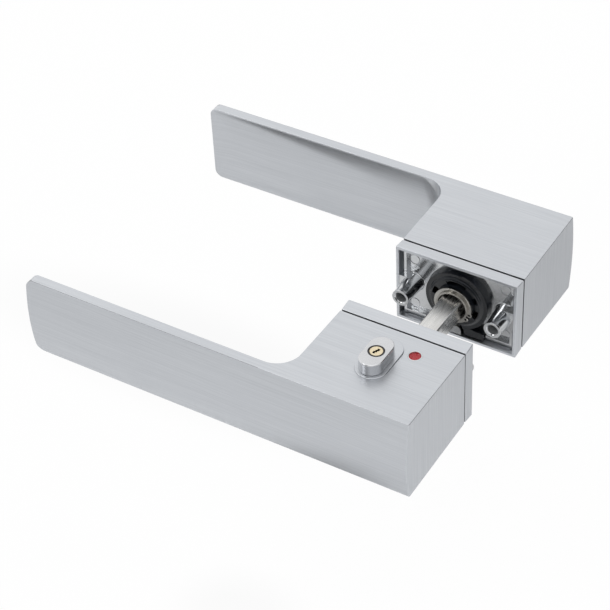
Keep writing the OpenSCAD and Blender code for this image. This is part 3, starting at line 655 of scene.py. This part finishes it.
# %% Lever surfaces
def half_height(x, y):
    """Half height of the lever; the taper of its top and bottom starts at the rose."""
    drop = 0.0
    if x < TIP_X + TIP_R:
        back = TIP_X + TIP_R - x
        drop = TIP_R - math.sqrt(max(0.0, TIP_R * TIP_R - back * back))
    return HEAD_HALF + TAPER * (y - HEAD_Y - JOINT_OVER) / (OUTER_Y - HEAD_Y - JOINT_OVER) - drop


def bow_out(z):
    """How far the outer face stands out at a height."""
    return math.sqrt(BOW_R * BOW_R - z * z) - math.sqrt(BOW_R * BOW_R - OUTER_HALF * OUTER_HALF)


def soft_min(a, b, k):
    """The smaller of two values, with the step between them rounded over a width k."""
    h = max(0.0, min(1.0, 0.5 + 0.5 * (b - a) / k))
    return b * (1 - h) + a * h - k * h * (1 - h)


def scoop_depth(x, z):
    """Depth of the scoop: an arc up and down, shallower towards the tip, where a ramp ends it."""
    mouth = min(MOUTH, half_height(x, OUTER_Y) - EDGE - 0.1)
    flat_z = z * MOUTH / mouth
    if abs(flat_z) >= MOUTH:
        return 0.0
    arc = SCOOP - ARC_R + math.sqrt(ARC_R * ARC_R - flat_z * flat_z)
    along = (x - TIP_X - RAMP_TO) / (SCOOP_X - TIP_X - RAMP_TO)
    crown = SHALLOW + (SCOOP + 0.35 - SHALLOW) * along - flat_z * flat_z / (4.8 * ARC_R)
    ramp = (x - TIP_X - RAMP_FROM) * SHALLOW / (RAMP_TO - RAMP_FROM)
    return max(0.0, soft_min(soft_min(arc, crown, 0.3), ramp, 0.12))


def scoop_ring(z):
    """Radius of the scoop round the inside corner at a height."""
    return FILLET + SCOOP - ARC_R + math.sqrt(max(0.0, ARC_R * ARC_R - z * z))


print("scoop halfway along the grip:", round(scoop_depth((TIP_X + SCOOP_X) / 2, 0), 2), "mm deep")

# %% [markdown]
# The path has three parts. Along the grip each section is square to X. Round the corner the sections fan
# out from the axis of the fillet, and the far side of the fan runs along the outer face, round the corner
# of the head and down its side. Along the head each section is square to Y. A station holds the inner and
# the outer wall as functions of the height, their outward directions, and how far the section is drawn in
# and lowered where it rounds an end.

# %% Lever stations
def far_on_face(x):
    return lambda z: (x, OUTER_Y + bow_out(z))


def grip_station(x, inset=0.0):
    def inner(z):
        if x <= SCOOP_X:
            return (x, GRIP_Y + scoop_depth(x, z))
        reach = max(0.0, scoop_ring(z) ** 2 - (x - SCOOP_X) ** 2)
        return (x, max(GRIP_Y, TURN_Y + math.sqrt(reach)))

    return inner, far_on_face(x), (0, -1), (0, 1), inset, 0.0


def fan_station(angle, far, normal):
    side, ahead = math.sin(angle), math.cos(angle)

    def inner(z):
        across = SCOOP * side
        scooped = -across + math.sqrt(max(0.0, across * across + scoop_ring(z) ** 2 - SCOOP * SCOOP))
        reach = -soft_min(-FILLET, -scooped, 0.12)
        return (TURN_X + side * reach, TURN_Y + ahead * reach)

    return inner, far, (-side, -ahead), normal, 0.0, 0.0


def far_on_corner(turn):
    x, back = SIDE_X - CORNER_R * (1 - math.sin(turn)), CORNER_R * (1 - math.cos(turn))
    return lambda z: (x, OUTER_Y + bow_out(z) - back)


def head_station(y, inset=0.0):
    return lambda z: (-SIDE_X, y), lambda z: (SIDE_X, y), (-1, 0), (1, 0), inset, inset


print("the corner turns at", round(far_on_corner(0)(0)[0], 1), "mm")

# %% List of stations
def grip_stations():
    stations = []
    for k in range(13):
        d = TIP_R * (1 - math.cos(math.pi / 2 * k / 12))
        inset = EDGE - math.sqrt(max(0.0, EDGE * EDGE - max(0.0, EDGE - d) ** 2))
        stations.append(grip_station(TIP_X + d, inset))
    x = TIP_X + TIP_R
    stations += [grip_station(x + (SCOOP_X - x) * k / 48) for k in range(1, 49)]
    stations += [grip_station(SCOOP_X + SCOOP * k / 3) for k in range(1, 4)]
    return stations


def fan_stations():
    stations = []
    depth = OUTER_Y - TURN_Y
    width = SIDE_X - TURN_X
    corner_a = math.atan2(width - CORNER_R, depth)
    corner_b = math.atan2(width, depth - CORNER_R)
    for k in range(1, 37):
        angle = corner_a * k / 36
        far = far_on_face(TURN_X + depth * math.tan(angle))
        stations.append(fan_station(angle, far, (0, 1)))
    for k in range(1, 6):
        turn = math.pi / 2 * k / 6
        angle = corner_a + (corner_b - corner_a) * k / 6
        stations.append(fan_station(angle, far_on_corner(turn), (math.sin(turn), math.cos(turn))))
    for k in range(11):
        angle = corner_b + (math.pi / 2 - corner_b) * k / 10
        y = TURN_Y + width / math.tan(angle)
        stations.append(fan_station(angle, lambda z, y=y: (SIDE_X, y), (1, 0)))
    return stations


def head_stations():
    stations = [head_station(TURN_Y + (HEAD_Y + RIM_R - TURN_Y) * k / 12) for k in range(1, 13)]
    for k in range(1, 4):
        turn = math.pi / 2 * k / 3
        stations.append(head_station(HEAD_Y + RIM_R * (1 - math.sin(turn)), RIM_R * (1 - math.cos(turn))))
    return stations


STATIONS = grip_stations() + fan_stations() + head_stations()
print("sections in the lever's loft:", len(STATIONS))

# %% [markdown]
# One section is a closed loop: up the inner wall, round the edge, across the top, round the next edge, down
# the outer wall and back along the bottom. The rows lie closer together towards the edges.

# %% Lever sections
# Steps up a wall, round an edge and across the top
ROWS, ROUND, ACROSS = 44, 4, 8
WALL_ROWS = [0.6 * s + 0.4 * math.sin(math.pi / 2 * s) for s in (2 * k / ROWS - 1 for k in range(ROWS + 1))]


def section_loop(station):
    inner, outer, n_in, n_out, inset, lower = station
    loop = []

    def top_of(side):
        x, y = side(OUTER_HALF)
        return half_height(x, min(y, OUTER_Y)) - lower

    def wall(side, normal, upward):
        height = top_of(side)
        for t in WALL_ROWS if upward else WALL_ROWS[::-1]:
            z = t * (height - EDGE)
            x, y = side(z)
            loop.append((x - normal[0] * inset, y - normal[1] * inset, z))

    def rounding(side, normal, sign, outward):
        base = top_of(side)
        for k in range(ROUND, 0, -1) if outward else range(1, ROUND + 1):
            turn = math.pi / 2 * k / ROUND
            z_wall = base - EDGE
            x, y = side(z_wall)
            shift = inset + EDGE * (1 - math.cos(turn))
            x, y = x - normal[0] * shift, y - normal[1] * shift
            slope = (half_height(x, min(y, OUTER_Y)) - lower - base) * math.sin(turn)
            loop.append((x, y, sign * (z_wall + EDGE * math.sin(turn) + slope)))

    def across(sign, from_inner):
        ends = []
        for side, normal in ((inner, n_in), (outer, n_out)):
            x, y = side(OUTER_HALF - EDGE)
            ends.append((x - normal[0] * (inset + EDGE), y - normal[1] * (inset + EDGE)))
        a, b = ends if from_inner else ends[::-1]
        for k in range(1, ACROSS):
            x, y = (a[i] + (b[i] - a[i]) * k / ACROSS for i in (0, 1))
            loop.append((x, y, sign * (half_height(x, y) - lower)))

    wall(inner, n_in, True)
    rounding(inner, n_in, 1, False)
    across(1, True)
    rounding(outer, n_out, 1, True)
    wall(outer, n_out, False)
    rounding(outer, n_out, -1, False)
    across(-1, False)
    rounding(inner, n_in, -1, True)
    return loop


print("points round one section:", len(section_loop(STATIONS[0])))

# %% Lever loft
def lofted_lever(name, sign):
    bm = bmesh.new()
    rings = []
    for station in STATIONS:
        rings.append([bm.verts.new((x * MM, sign * y * MM, z * MM)) for x, y, z in section_loop(station)])
    join_rings(bm, rings)
    bm.faces.new(rings[0])
    bm.faces.new(rings[-1])
    bmesh.ops.remove_doubles(bm, verts=bm.verts, dist=2e-7)
    return piece_from(bm, name, satin)


print("quads in the loft:", (len(STATIONS) - 1) * len(section_loop(STATIONS[0])))

# %% [markdown]
# The head is hollow, and a steel plate closes it towards the rose. The hollow, the boss holes and the
# grub screw's hole are cut from the loft.

# %% Hollow head
HEAD_WALL, PLATE_THICK = 3, 1.2
CAVE_X, CAVE_Y, CAVE_Z = SIDE_X - HEAD_WALL, OUTER_Y - HEAD_WALL, HEAD_HALF - HEAD_WALL
BOSS_X, BOSS_Z, BOSS_R = CAVE_X - 3.4, CAVE_Z - 3.2, 3
SCREW_HOLE, SCREW_DEEP, GRUB_Y, GRUB_HOLE = 1.05, 7.3, 29.6, 2.55
PLATE_IN = HEAD_Y + JOINT_OVER + PLATE_THICK


def at_bosses(name, r, count, start, end):
    """One round rod at each of the head's four bosses."""
    places = [(x, z) for x in (-BOSS_X, BOSS_X) for z in (-BOSS_Z, BOSS_Z)]
    return [prism(name, circle(x, z, r, count), start, end, "y") for x, z in places]


def head_cutters(sign):
    hollow = rectangle(-CAVE_X, CAVE_X, -CAVE_Z, CAVE_Z)
    cave = prism("cave", hollow, sign * (HEAD_Y - 1), sign * CAVE_Y, "y")
    cut(cave, *at_bosses("boss", BOSS_R, 32, sign * PLATE_IN, sign * (CAVE_Y + 1)))
    holes = at_bosses("hole", SCREW_HOLE, 24, sign * (PLATE_IN - 0.2), sign * (PLATE_IN + SCREW_DEEP))
    grub = prism("grub", circle(0, sign * GRUB_Y, GRUB_HOLE, 48), -OUTER_HALF - 1, -CAVE_Z + 1, "z")
    return [cave, *holes, grub]


print("hollow of the head:", round(2 * CAVE_X, 1), "x", round(2 * CAVE_Z, 1), "mm")

# %% [markdown]
# The front head also gets the seat of the knob's foot plate and the bore of its stem. Under its top lie the
# pocket of the indicator's arm and the ring groove that the pads swing in, and the window opens into that.

# %% Room for the knob and the indicator
KNOB_Y = box_mm("key_core")[0].y
FOOT, FOOT_SIZE, FOOT_LOW, FOOT_HIGH = box_mm("knob_plate")
SEAT_Z = FOOT_LOW.z
DOT, DOT_SIZE = box_mm("indicator_bezel")[:2]
DOT_REACH, DOT_R = math.hypot(DOT.x, DOT.y - KNOB_Y), DOT_SIZE.x / 2
# Radii of the arm's pocket and of the groove's two walls, and the height that the groove reaches
POCKET_R, GROOVE_IN, GROOVE_OUT = DOT_REACH + DOT_R + 0.4, DOT_REACH - DOT_R - 0.3, DOT_REACH + DOT_R + 0.15
GROOVE_Z = box_mm("red_pad")[3].z + 0.15
STEM_BORE, SEAT_PLAY = 4.15, 0.1


def knob_cutters():
    top = OUTER_HALF + 1
    groove = prism("groove", circle(0, KNOB_Y, GROOVE_OUT, 128), CAVE_Z - 1, GROOVE_Z, "z")
    cut(groove, prism("core", circle(0, KNOB_Y, GROOVE_IN, 128), CAVE_Z - 2, GROOVE_Z + 1, "z"))
    seat = oblong(FOOT.y, FOOT_SIZE.x + SEAT_PLAY, FOOT_SIZE.y + SEAT_PLAY)
    return [
        groove,
        prism("seat", seat, SEAT_Z - 0.01, top, "z"),
        prism("stem", circle(0, KNOB_Y, STEM_BORE), SEAT_Z - 1.1, top, "z"),
        prism("pocket", circle(0, KNOB_Y, POCKET_R, 128), CAVE_Z - 1, SEAT_Z - 1.01, "z"),
        prism("window", circle(DOT.x, DOT.y, DOT_R + SEAT_PLAY / 2, 64), SEAT_Z - 1.2, top, "z"),
    ]


print("pads swing in a groove from", round(GROOVE_IN, 2), "to", round(GROOVE_OUT, 2), "mm round the stem")

# %% [markdown]
# The brushing runs along the grip, but up and down on the sides of the head and round the inside corner.
# Each face of the mesh chooses by its own normal and place, and writes its map in metres. The faces in
# the joint and on two of the edges get painted shade, so that the joint and those edges turn darker.

# %% Grain map and dull faces
# How dark the painted shade is on the faces in the joint and on the two darkened edges
JOINT_PAINTED_SHADE, EDGE_PAINTED_SHADE = 0.65, 0.5
NOWHERE = 1e6


def brush(piece, upright_from=TURN_X - 1.0):
    """Lay the grain along X, but upright on side faces and, past a limit in X, on inner walls."""
    mesh = piece.data
    for layer in list(mesh.uv_layers):
        mesh.uv_layers.remove(layer)
    grain = mesh.uv_layers.new(name="grain")
    for face in mesh.polygons:
        n, c = face.normal, face.center
        inner = c.x > upright_from * MM and abs(c.y) < (OUTER_Y - 2) * MM
        upright = abs(n.x) > 0.5 or (abs(n.z) < 0.5 and inner)
        for i in face.loop_indices:
            p = mesh.vertices[mesh.loops[i].vertex_index].co
            if abs(n.z) >= 0.5:
                uv = (p.x, p.y)
            elif upright:
                uv = (p.z, p.y + p.x)
            else:
                uv = (p.x, p.z)
            grain.data[i].uv = uv


def painted_joint_and_edge_shade(joint, edge):
    """Painted shade for the faces in the joint between head and rose, and for the outer and right edges."""
    def level(middle, normal):
        if abs(abs(middle.y) - joint) < 0.05 and abs(normal.y) > 0.5:
            return JOINT_PAINTED_SHADE
        outer = middle.x < TURN_X and abs(middle.y) > OUTER_Y - 0.4
        return edge if 0.3 < abs(normal.z) < 0.95 and (normal.x > 0.3 or outer) else 0

    return level


# %% Both levers
for node, sign in (("rear_lever", 1), ("front_lever", -1)):
    lever = lofted_lever(node + "_finished", sign)
    cut(lever, *head_cutters(sign), *(knob_cutters() if sign < 0 else []))
    brush(lever)
    # Painted shade on the faces in the joint, and a painted dark line along the outer and right edges
    mark_faces(lever, "dull", painted_joint_and_edge_shade(HEAD_Y, EDGE_PAINTED_SHADE))
    settle(lever, "levers", "lever_metal", node, angle=28)

# %% [markdown]
# ## Rose covers
# Each cover is a shallow tapered tray, 1.3 mm thick at its rim. A block with softened edges is hollowed
# from the door side and pierced for the neck. A last fine bevel lets the rim catch light inside and out.

# %% Rose covers
WALL, FACE = 1.3, 0.8
NECK_BORE = 6.8
# The bolt's opening above the neck: from and to along X, then along Z
BOLT_WAY = (-2.7, 2.7, 7.6, 11.4)


def box_section(y, half_x, half_z):
    return [(half_x, y, half_z), (-half_x, y, half_z), (-half_x, y, -half_z), (half_x, y, -half_z)]


def rose_cover(node, sign):
    low, high = box_mm(node)[2:]
    door, out = (low.y, high.y) if sign > 0 else (high.y, low.y)
    half_x, half_z = high.x, high.z
    inner = out - sign * FACE
    ends = [box_section(door, half_x, half_z), box_section(out, half_x, half_z - TAPER)]
    piece = tapered(node + "_finished", ends, satin)
    bevelled(piece, 0.4, 35, 3)
    slope = TAPER / abs(out - door)
    wide = box_section(door - sign, half_x - WALL, half_z - WALL + slope)
    narrow = box_section(inner, half_x - WALL, half_z - WALL - slope * (abs(out - door) - FACE))
    cave = tapered("cave", [wide, narrow])
    bevelled(cave, 0.3)
    levels = (inner - sign, out + sign)
    cutters = [cave, prism("neck", circle(0, 0, NECK_BORE), *levels, "y")]
    if sign < 0:
        cutters.append(prism("way", rectangle(*BOLT_WAY), *levels, "y"))
    cut(piece, *cutters)
    bevelled(piece, 0.12, 40)
    brush(piece, NOWHERE)
    # Painted shade on the cover's face in the joint
    mark_faces(piece, "dull", painted_joint_and_edge_shade(abs(out), 0))
    settle(piece, "roses", "rose_metal", node, angle=28)


rose_cover("front_rose_cover", -1)
rose_cover("rear_rose_cover", 1)

# %% [markdown]
# ## Rose bases
# A die-casting has no knife edges, but its ribs and posts are crisp. The bevel is a little wider than on
# the turned parts, and the broad flat floor keeps its straight reflections. The bores of the two posts are
# marked, because they are drilled after plating.

# %% Rose bases
POST_X, BORE_R = 19, 2.1


def in_bore(middle, normal):
    return math.hypot(abs(middle.x) - POST_X, middle.z) < BORE_R + 0.02


for side in ("front", "rear"):
    node = side + "_rose_base"
    base = finished_copy(node, casting)
    bevelled(base, 0.18)
    mark_faces(base, "bore", in_bore)
    settle(base, "roses", "casting", node)

# %% [markdown]
# ## Cassettes, necks, clips and spindle
# These keep the form of their nodes. They only need crisp, slightly broken edges. The neck's end is also
# dished round the spindle, so that only its rim catches light and the middle lies in shade, deepened by
# painted shade inside the dish.

# %% Small mechanical pieces
# Radius of the dish at its rim and at its floor, its depth, and how dark the painted shade inside it is
DISH_RIM, DISH_FLOOR, DISH_DEEP, DISH_PAINTED_SHADE = 5.8, 5.5, 2.8, 0.75


def finished_neck(side):
    node = side + "_neck"
    piece = finished_copy(node, plain_steel)
    sign = -1 if side == "front" else 1
    end = box_mm(node)[2].y if sign > 0 else -box_mm(node)[3].y
    steps = ((DISH_RIM + 0.3, end - 1), (DISH_RIM, end), (DISH_FLOOR, end + DISH_DEEP))
    cut(piece, tapered("dish", [[(x, sign * y, z) for x, z in circle(0, 0, r)] for r, y in steps]))
    bevelled(piece, 0.15)
    # Painted shade on the faces inside the dish
    mark_faces(piece, "dull", lambda middle, normal: (
        DISH_PAINTED_SHADE * (math.hypot(middle.x, middle.z) < DISH_FLOOR and sign * middle.y > end + 0.3)))
    settle(piece, "levers", "steel", node)


for side in ("front", "rear"):
    finished(side + "_cassette", "roses", "cassette_plastic", nylon, 0.2)
    finished_neck(side)
    finished(side + "_circlip", "levers", "spring_steel", spring_steel, 0.08)
    finished(side + "_end_plate", "levers", "steel", plain_steel, 0.08)
    finished(side + "_slide_washer", "roses", "white_plastic", slide_plastic, 0.05)
finished("spindle", "levers", "spindle_steel", bar_steel, 0.2)
finished("grub_screws", "levers", "spring_steel", spring_steel, 0.08)
finished("cam_disc", "knob", "steel", plain_steel, 0.08)
finished("cam_screw", "knob", "steel", plain_steel, 0.05)
finished("lock_bolt", "lock_bolt", "steel", plain_steel, 0.15)
finished("bolt_guide", "levers", "cassette_plastic", nylon, 0.08)
finished("indicator_arm", "knob", "steel", plain_steel, 0.05)

# %% [markdown]
# ## Privacy knob
# The knob is a short oblong column. Rings of the same outline, drawn in a little towards the top, give its
# upright side, its rounded edge and its flat top in one mesh. The foot plate under it is made the same way,
# and a round stem joins the knob to its arm.

# %% Knob and foot plate
STEM_WIDE, CORE_BORE, RING_DEEP = 8.2, 2.4, 1.4


def column(name, rings, y, material):
    sections = []
    for width, length, z in rings:
        sections.append([(px, py, z) for px, py in oblong(y, width, length)])
    return tapered(name, sections, material)


def rounded_rings(width, length, low_z, high_z, edge, foot, steps=6):
    rings = [(width - 2 * foot, length - 2 * foot, low_z), (width, length, low_z + foot)]
    for k in range(steps + 1):
        turn = math.pi / 2 * k / steps
        inset = 2 * edge * (1 - math.cos(turn))
        rings.append((width - inset, length - inset, high_z - edge + edge * math.sin(turn)))
    return rings


KNOB_SIZE, KNOB_LOW, KNOB_HIGH = box_mm("privacy_knob")[1:]
KNOB_TOP, KNOB_FOOT = KNOB_HIGH.z, FOOT_HIGH.z + 0.06
ring_seat = circle(0, KNOB_Y, box_mm("key_ring")[1].x / 2 + SEAT_PLAY / 2)
rings = rounded_rings(KNOB_SIZE.x, KNOB_SIZE.y, KNOB_FOOT, KNOB_TOP, 0.5, 0.15)
knob = column("privacy_knob_finished", rings, KNOB_Y, knob_metal)
cut(
    knob,
    prism("ring_seat", ring_seat, KNOB_TOP - RING_DEEP, KNOB_TOP + 1, "z"),
    prism("core_bore", circle(0, KNOB_Y, CORE_BORE), KNOB_FOOT - 0.2, KNOB_TOP + 1, "z"),
)
bevelled(knob, 0.1, 40)
settle(knob, "knob", "knob_metal", "privacy_knob", angle=30)

# %% Stem and foot plate
rings = [(STEM_WIDE, STEM_WIDE + 0.0001, z) for z in (KNOB_LOW.z + 3.5, KNOB_FOOT + 0.05)]
stem = column("knob_stem", rings, KNOB_Y, plain_steel)
settle(stem, "knob", "knob_metal", angle=30)

rings = rounded_rings(*FOOT_SIZE.xy, SEAT_Z, FOOT_HIGH.z, 0.25, 0.05)
foot = column("knob_plate_finished", rings, FOOT.y, satin)
cut(foot, prism("bore", circle(0, KNOB_Y, STEM_BORE), SEAT_Z - 1, SEAT_Z + 2, "z"))
brush(foot, NOWHERE)
settle(foot, "levers", "lever_metal", "knob_plate", angle=30)

# %% [markdown]
# ## Key and indicator
# The key core is turned brass with a stepped slot. The slot is narrow and deep, so its walls get painted
# shade. The two pads lie under the clear window, and a pale ring frames it.

# %% Key, ring and indicator
SLOT_R, SLOT_PAINTED_SHADE = 2.1, 0.9
CORE_TOP = box_mm("key_core")[3].z


def in_slot(middle, normal):
    near = math.hypot(middle.x, middle.y - KNOB_Y) < SLOT_R
    return SLOT_PAINTED_SHADE if near and 0.1 < CORE_TOP - middle.z < 3 else 0


core = finished_copy("key_core", brass)
bevelled(core, 0.06)
# Painted shade on the walls of the key's slot
mark_faces(core, "dull", in_slot)
settle(core, "key_core", "brass", "key_core")
finished("key_ring", "knob", "black_plastic", black, 0.05)
finished("red_pad", "knob", "red_plastic", red, 0.03)
finished("green_pad", "knob", "green_plastic", green, 0.03)
finished("indicator_bezel", "levers", "pale_plastic", pale, 0.04)
finished("indicator_lens", "levers", "clear_plastic", lens, 0.05)

# %% [markdown]
# ## Springs and screws by Geometry Nodes
# A flat spiral spring is a curve with a round profile swept along it, and the plate's screws are one
# screw placed at four corners. Both follow a rule, so a node tree makes them from named sizes.

# %% Spring tree
SPRING = {"Inner radius": 8.2 * MM, "Outer radius": 11.45 * MM, "Turns": 2.4, "Wire": 0.8 * MM}


def new_group(name, sizes):
    """A node group with an input for each size, and the sizes by the identifiers of the inputs."""
    tree = bpy.data.node_groups.new(name, "GeometryNodeTree")
    values = {}
    for size, value in sizes.items():
        socket = tree.interface.new_socket(name=size, in_out="INPUT", socket_type="NodeSocketFloat")
        socket.default_value = value
        values[socket.identifier] = value
    tree.interface.new_socket(name="Geometry", in_out="OUTPUT", socket_type="NodeSocketGeometry")
    return tree, values, tree.nodes.new("NodeGroupInput")


def painted(tree, geometry, material):
    """Make the instances real, give them their material and send them out of the group."""
    real = tree.nodes.new("GeometryNodeRealizeInstances")
    paint = new_node(tree, "GeometryNodeSetMaterial", {"Material": material})
    out = tree.nodes.new("NodeGroupOutput")
    link(tree, geometry, real.inputs["Geometry"])
    link(tree, real.outputs["Geometry"], paint.inputs["Geometry"])
    link(tree, paint.outputs["Geometry"], out.inputs["Geometry"])


def spring_tree():
    tree, values, source = new_group("flat_spring", SPRING)
    spiral = new_node(tree, "GeometryNodeCurveSpiral", {"Resolution": 48, "Height": 0})
    ring = new_node(tree, "GeometryNodeCurvePrimitiveCircle", {"Resolution": 12})
    half = math_node(tree, "MULTIPLY", source.outputs["Wire"], 0.5)
    sweep = new_node(tree, "GeometryNodeCurveToMesh", {"Fill Caps": True})
    smooth = tree.nodes.new("GeometryNodeSetShadeSmooth")
    link(tree, source.outputs["Inner radius"], spiral.inputs["Start Radius"])
    link(tree, source.outputs["Outer radius"], spiral.inputs["End Radius"])
    link(tree, source.outputs["Turns"], spiral.inputs["Rotations"])
    link(tree, half.outputs[0], ring.inputs["Radius"])
    link(tree, spiral.outputs["Curve"], sweep.inputs["Curve"])
    link(tree, ring.outputs["Curve"], sweep.inputs["Profile Curve"])
    link(tree, sweep.outputs["Mesh"], smooth.inputs["Geometry"])
    painted(tree, smooth.outputs["Geometry"], spring_steel)
    return tree, values


def grown(name, tree, values):
    piece = new_piece(name, bpy.data.meshes.new(name), None)
    modifier = piece.modifiers.new("grow", "NODES")
    modifier.node_group = tree
    for identifier, value in values.items():
        modifier[identifier] = value
    evaluated_mesh(piece)
    return piece


flat_spring, spring_values = spring_tree()
for side in ("front", "rear"):
    node = side + "_return_spring"
    spring = grown(node + "_finished", flat_spring, spring_values)
    stand = Matrix.Translation((0, box_mm(node)[0].y * MM, 0)) @ Matrix.Rotation(math.radians(90), 4, "X")
    spring.data.transform(stand)
    settle(spring, "roses", "spring_steel", node, angle=None)

# %% [markdown]
# The screw is turned: a profile of radius and depth, with a dimple for the drive and a countersunk head, is
# swept round its axis. The node tree stands one at each corner of a grid as wide as the bosses.

# %% Screw
HEAD_PROFILE = [(0.0, 0.35), (0.9, 0.35), (1.0, 0.0), (2.0, 0.0), (2.05, 0.12), (1.0, 1.2)]
SHANK_PROFILE = [(1.0, 7.6), (0.7, 8.0), (0.0, 8.0)]


def make_screw(count=24):
    bm = bmesh.new()
    rings = []
    for r, y in HEAD_PROFILE + SHANK_PROFILE:
        outline = circle(0, 0, r, count) if r > 0 else [(0, 0)]
        rings.append([bm.verts.new((x * MM, y * MM, z * MM)) for x, z in outline])
    for first, second in zip(rings, rings[1:]):
        for k in range(count):
            corners = []
            for ring, step in ((first, k), (first, k + 1), (second, k + 1), (second, k)):
                corners.append(ring[step % len(ring)])
            bm.faces.new(list(dict.fromkeys(corners)))
    screw = piece_from(bm, "pattern_screw", plain_steel)
    screw.data.shade_smooth()
    screw.data.set_sharp_from_angle(angle=math.radians(30))
    return screw


pattern_screw = make_screw()
print("pattern screw:", triangles(pattern_screw), "triangles")

# %% Screw tree
# How deep the screw heads lie in the plate
SUNK = 0.02
SCREW_Y = HEAD_Y + JOINT_OVER + SUNK
CORNERS = {"Width": 2 * BOSS_X * MM, "Height": 2 * BOSS_Z * MM, "Distance": SCREW_Y * MM}


def screw_tree(screw):
    tree, values, source = new_group("screws_at_corners", CORNERS)
    grid = new_node(tree, "GeometryNodeMeshGrid", {"Vertices X": 2, "Vertices Y": 2})
    stand = new_node(tree, "GeometryNodeTransform", {"Rotation": (math.radians(90), 0, 0)})
    shift = tree.nodes.new("ShaderNodeCombineXYZ")
    body = new_node(tree, "GeometryNodeObjectInfo", {"Object": screw})
    place = tree.nodes.new("GeometryNodeInstanceOnPoints")
    link(tree, source.outputs["Width"], grid.inputs["Size X"])
    link(tree, source.outputs["Height"], grid.inputs["Size Y"])
    link(tree, source.outputs["Distance"], shift.inputs["Y"])
    link(tree, grid.outputs["Mesh"], stand.inputs["Geometry"])
    link(tree, shift.outputs[0], stand.inputs["Translation"])
    link(tree, stand.outputs["Geometry"], place.inputs["Points"])
    link(tree, body.outputs["Geometry"], place.inputs["Instance"])
    painted(tree, place.outputs["Instances"], plain_steel)
    return tree, values


screws = grown("plate_screws_finished", *screw_tree(pattern_screw))

# %% Screws of the other half
mirror = bmesh.new()
mirror.from_mesh(screws.data)
copy = bmesh.ops.duplicate(mirror, geom=mirror.verts[:] + mirror.edges[:] + mirror.faces[:])
bmesh.ops.scale(mirror, vec=(1, -1, 1), verts=[v for v in copy["geom"] if isinstance(v, bmesh.types.BMVert)])
bmesh.ops.recalc_face_normals(mirror, faces=mirror.faces)
mirror.to_mesh(screws.data)
mirror.free()
bpy.data.objects.remove(pattern_screw)
settle(screws, "levers", "steel", "plate_screws", angle=None)

# %% [markdown]
# ## View transform
# The picture is shown with the Standard view transform.

# %% View transform
bpy.context.scene.view_settings.view_transform = "Standard"
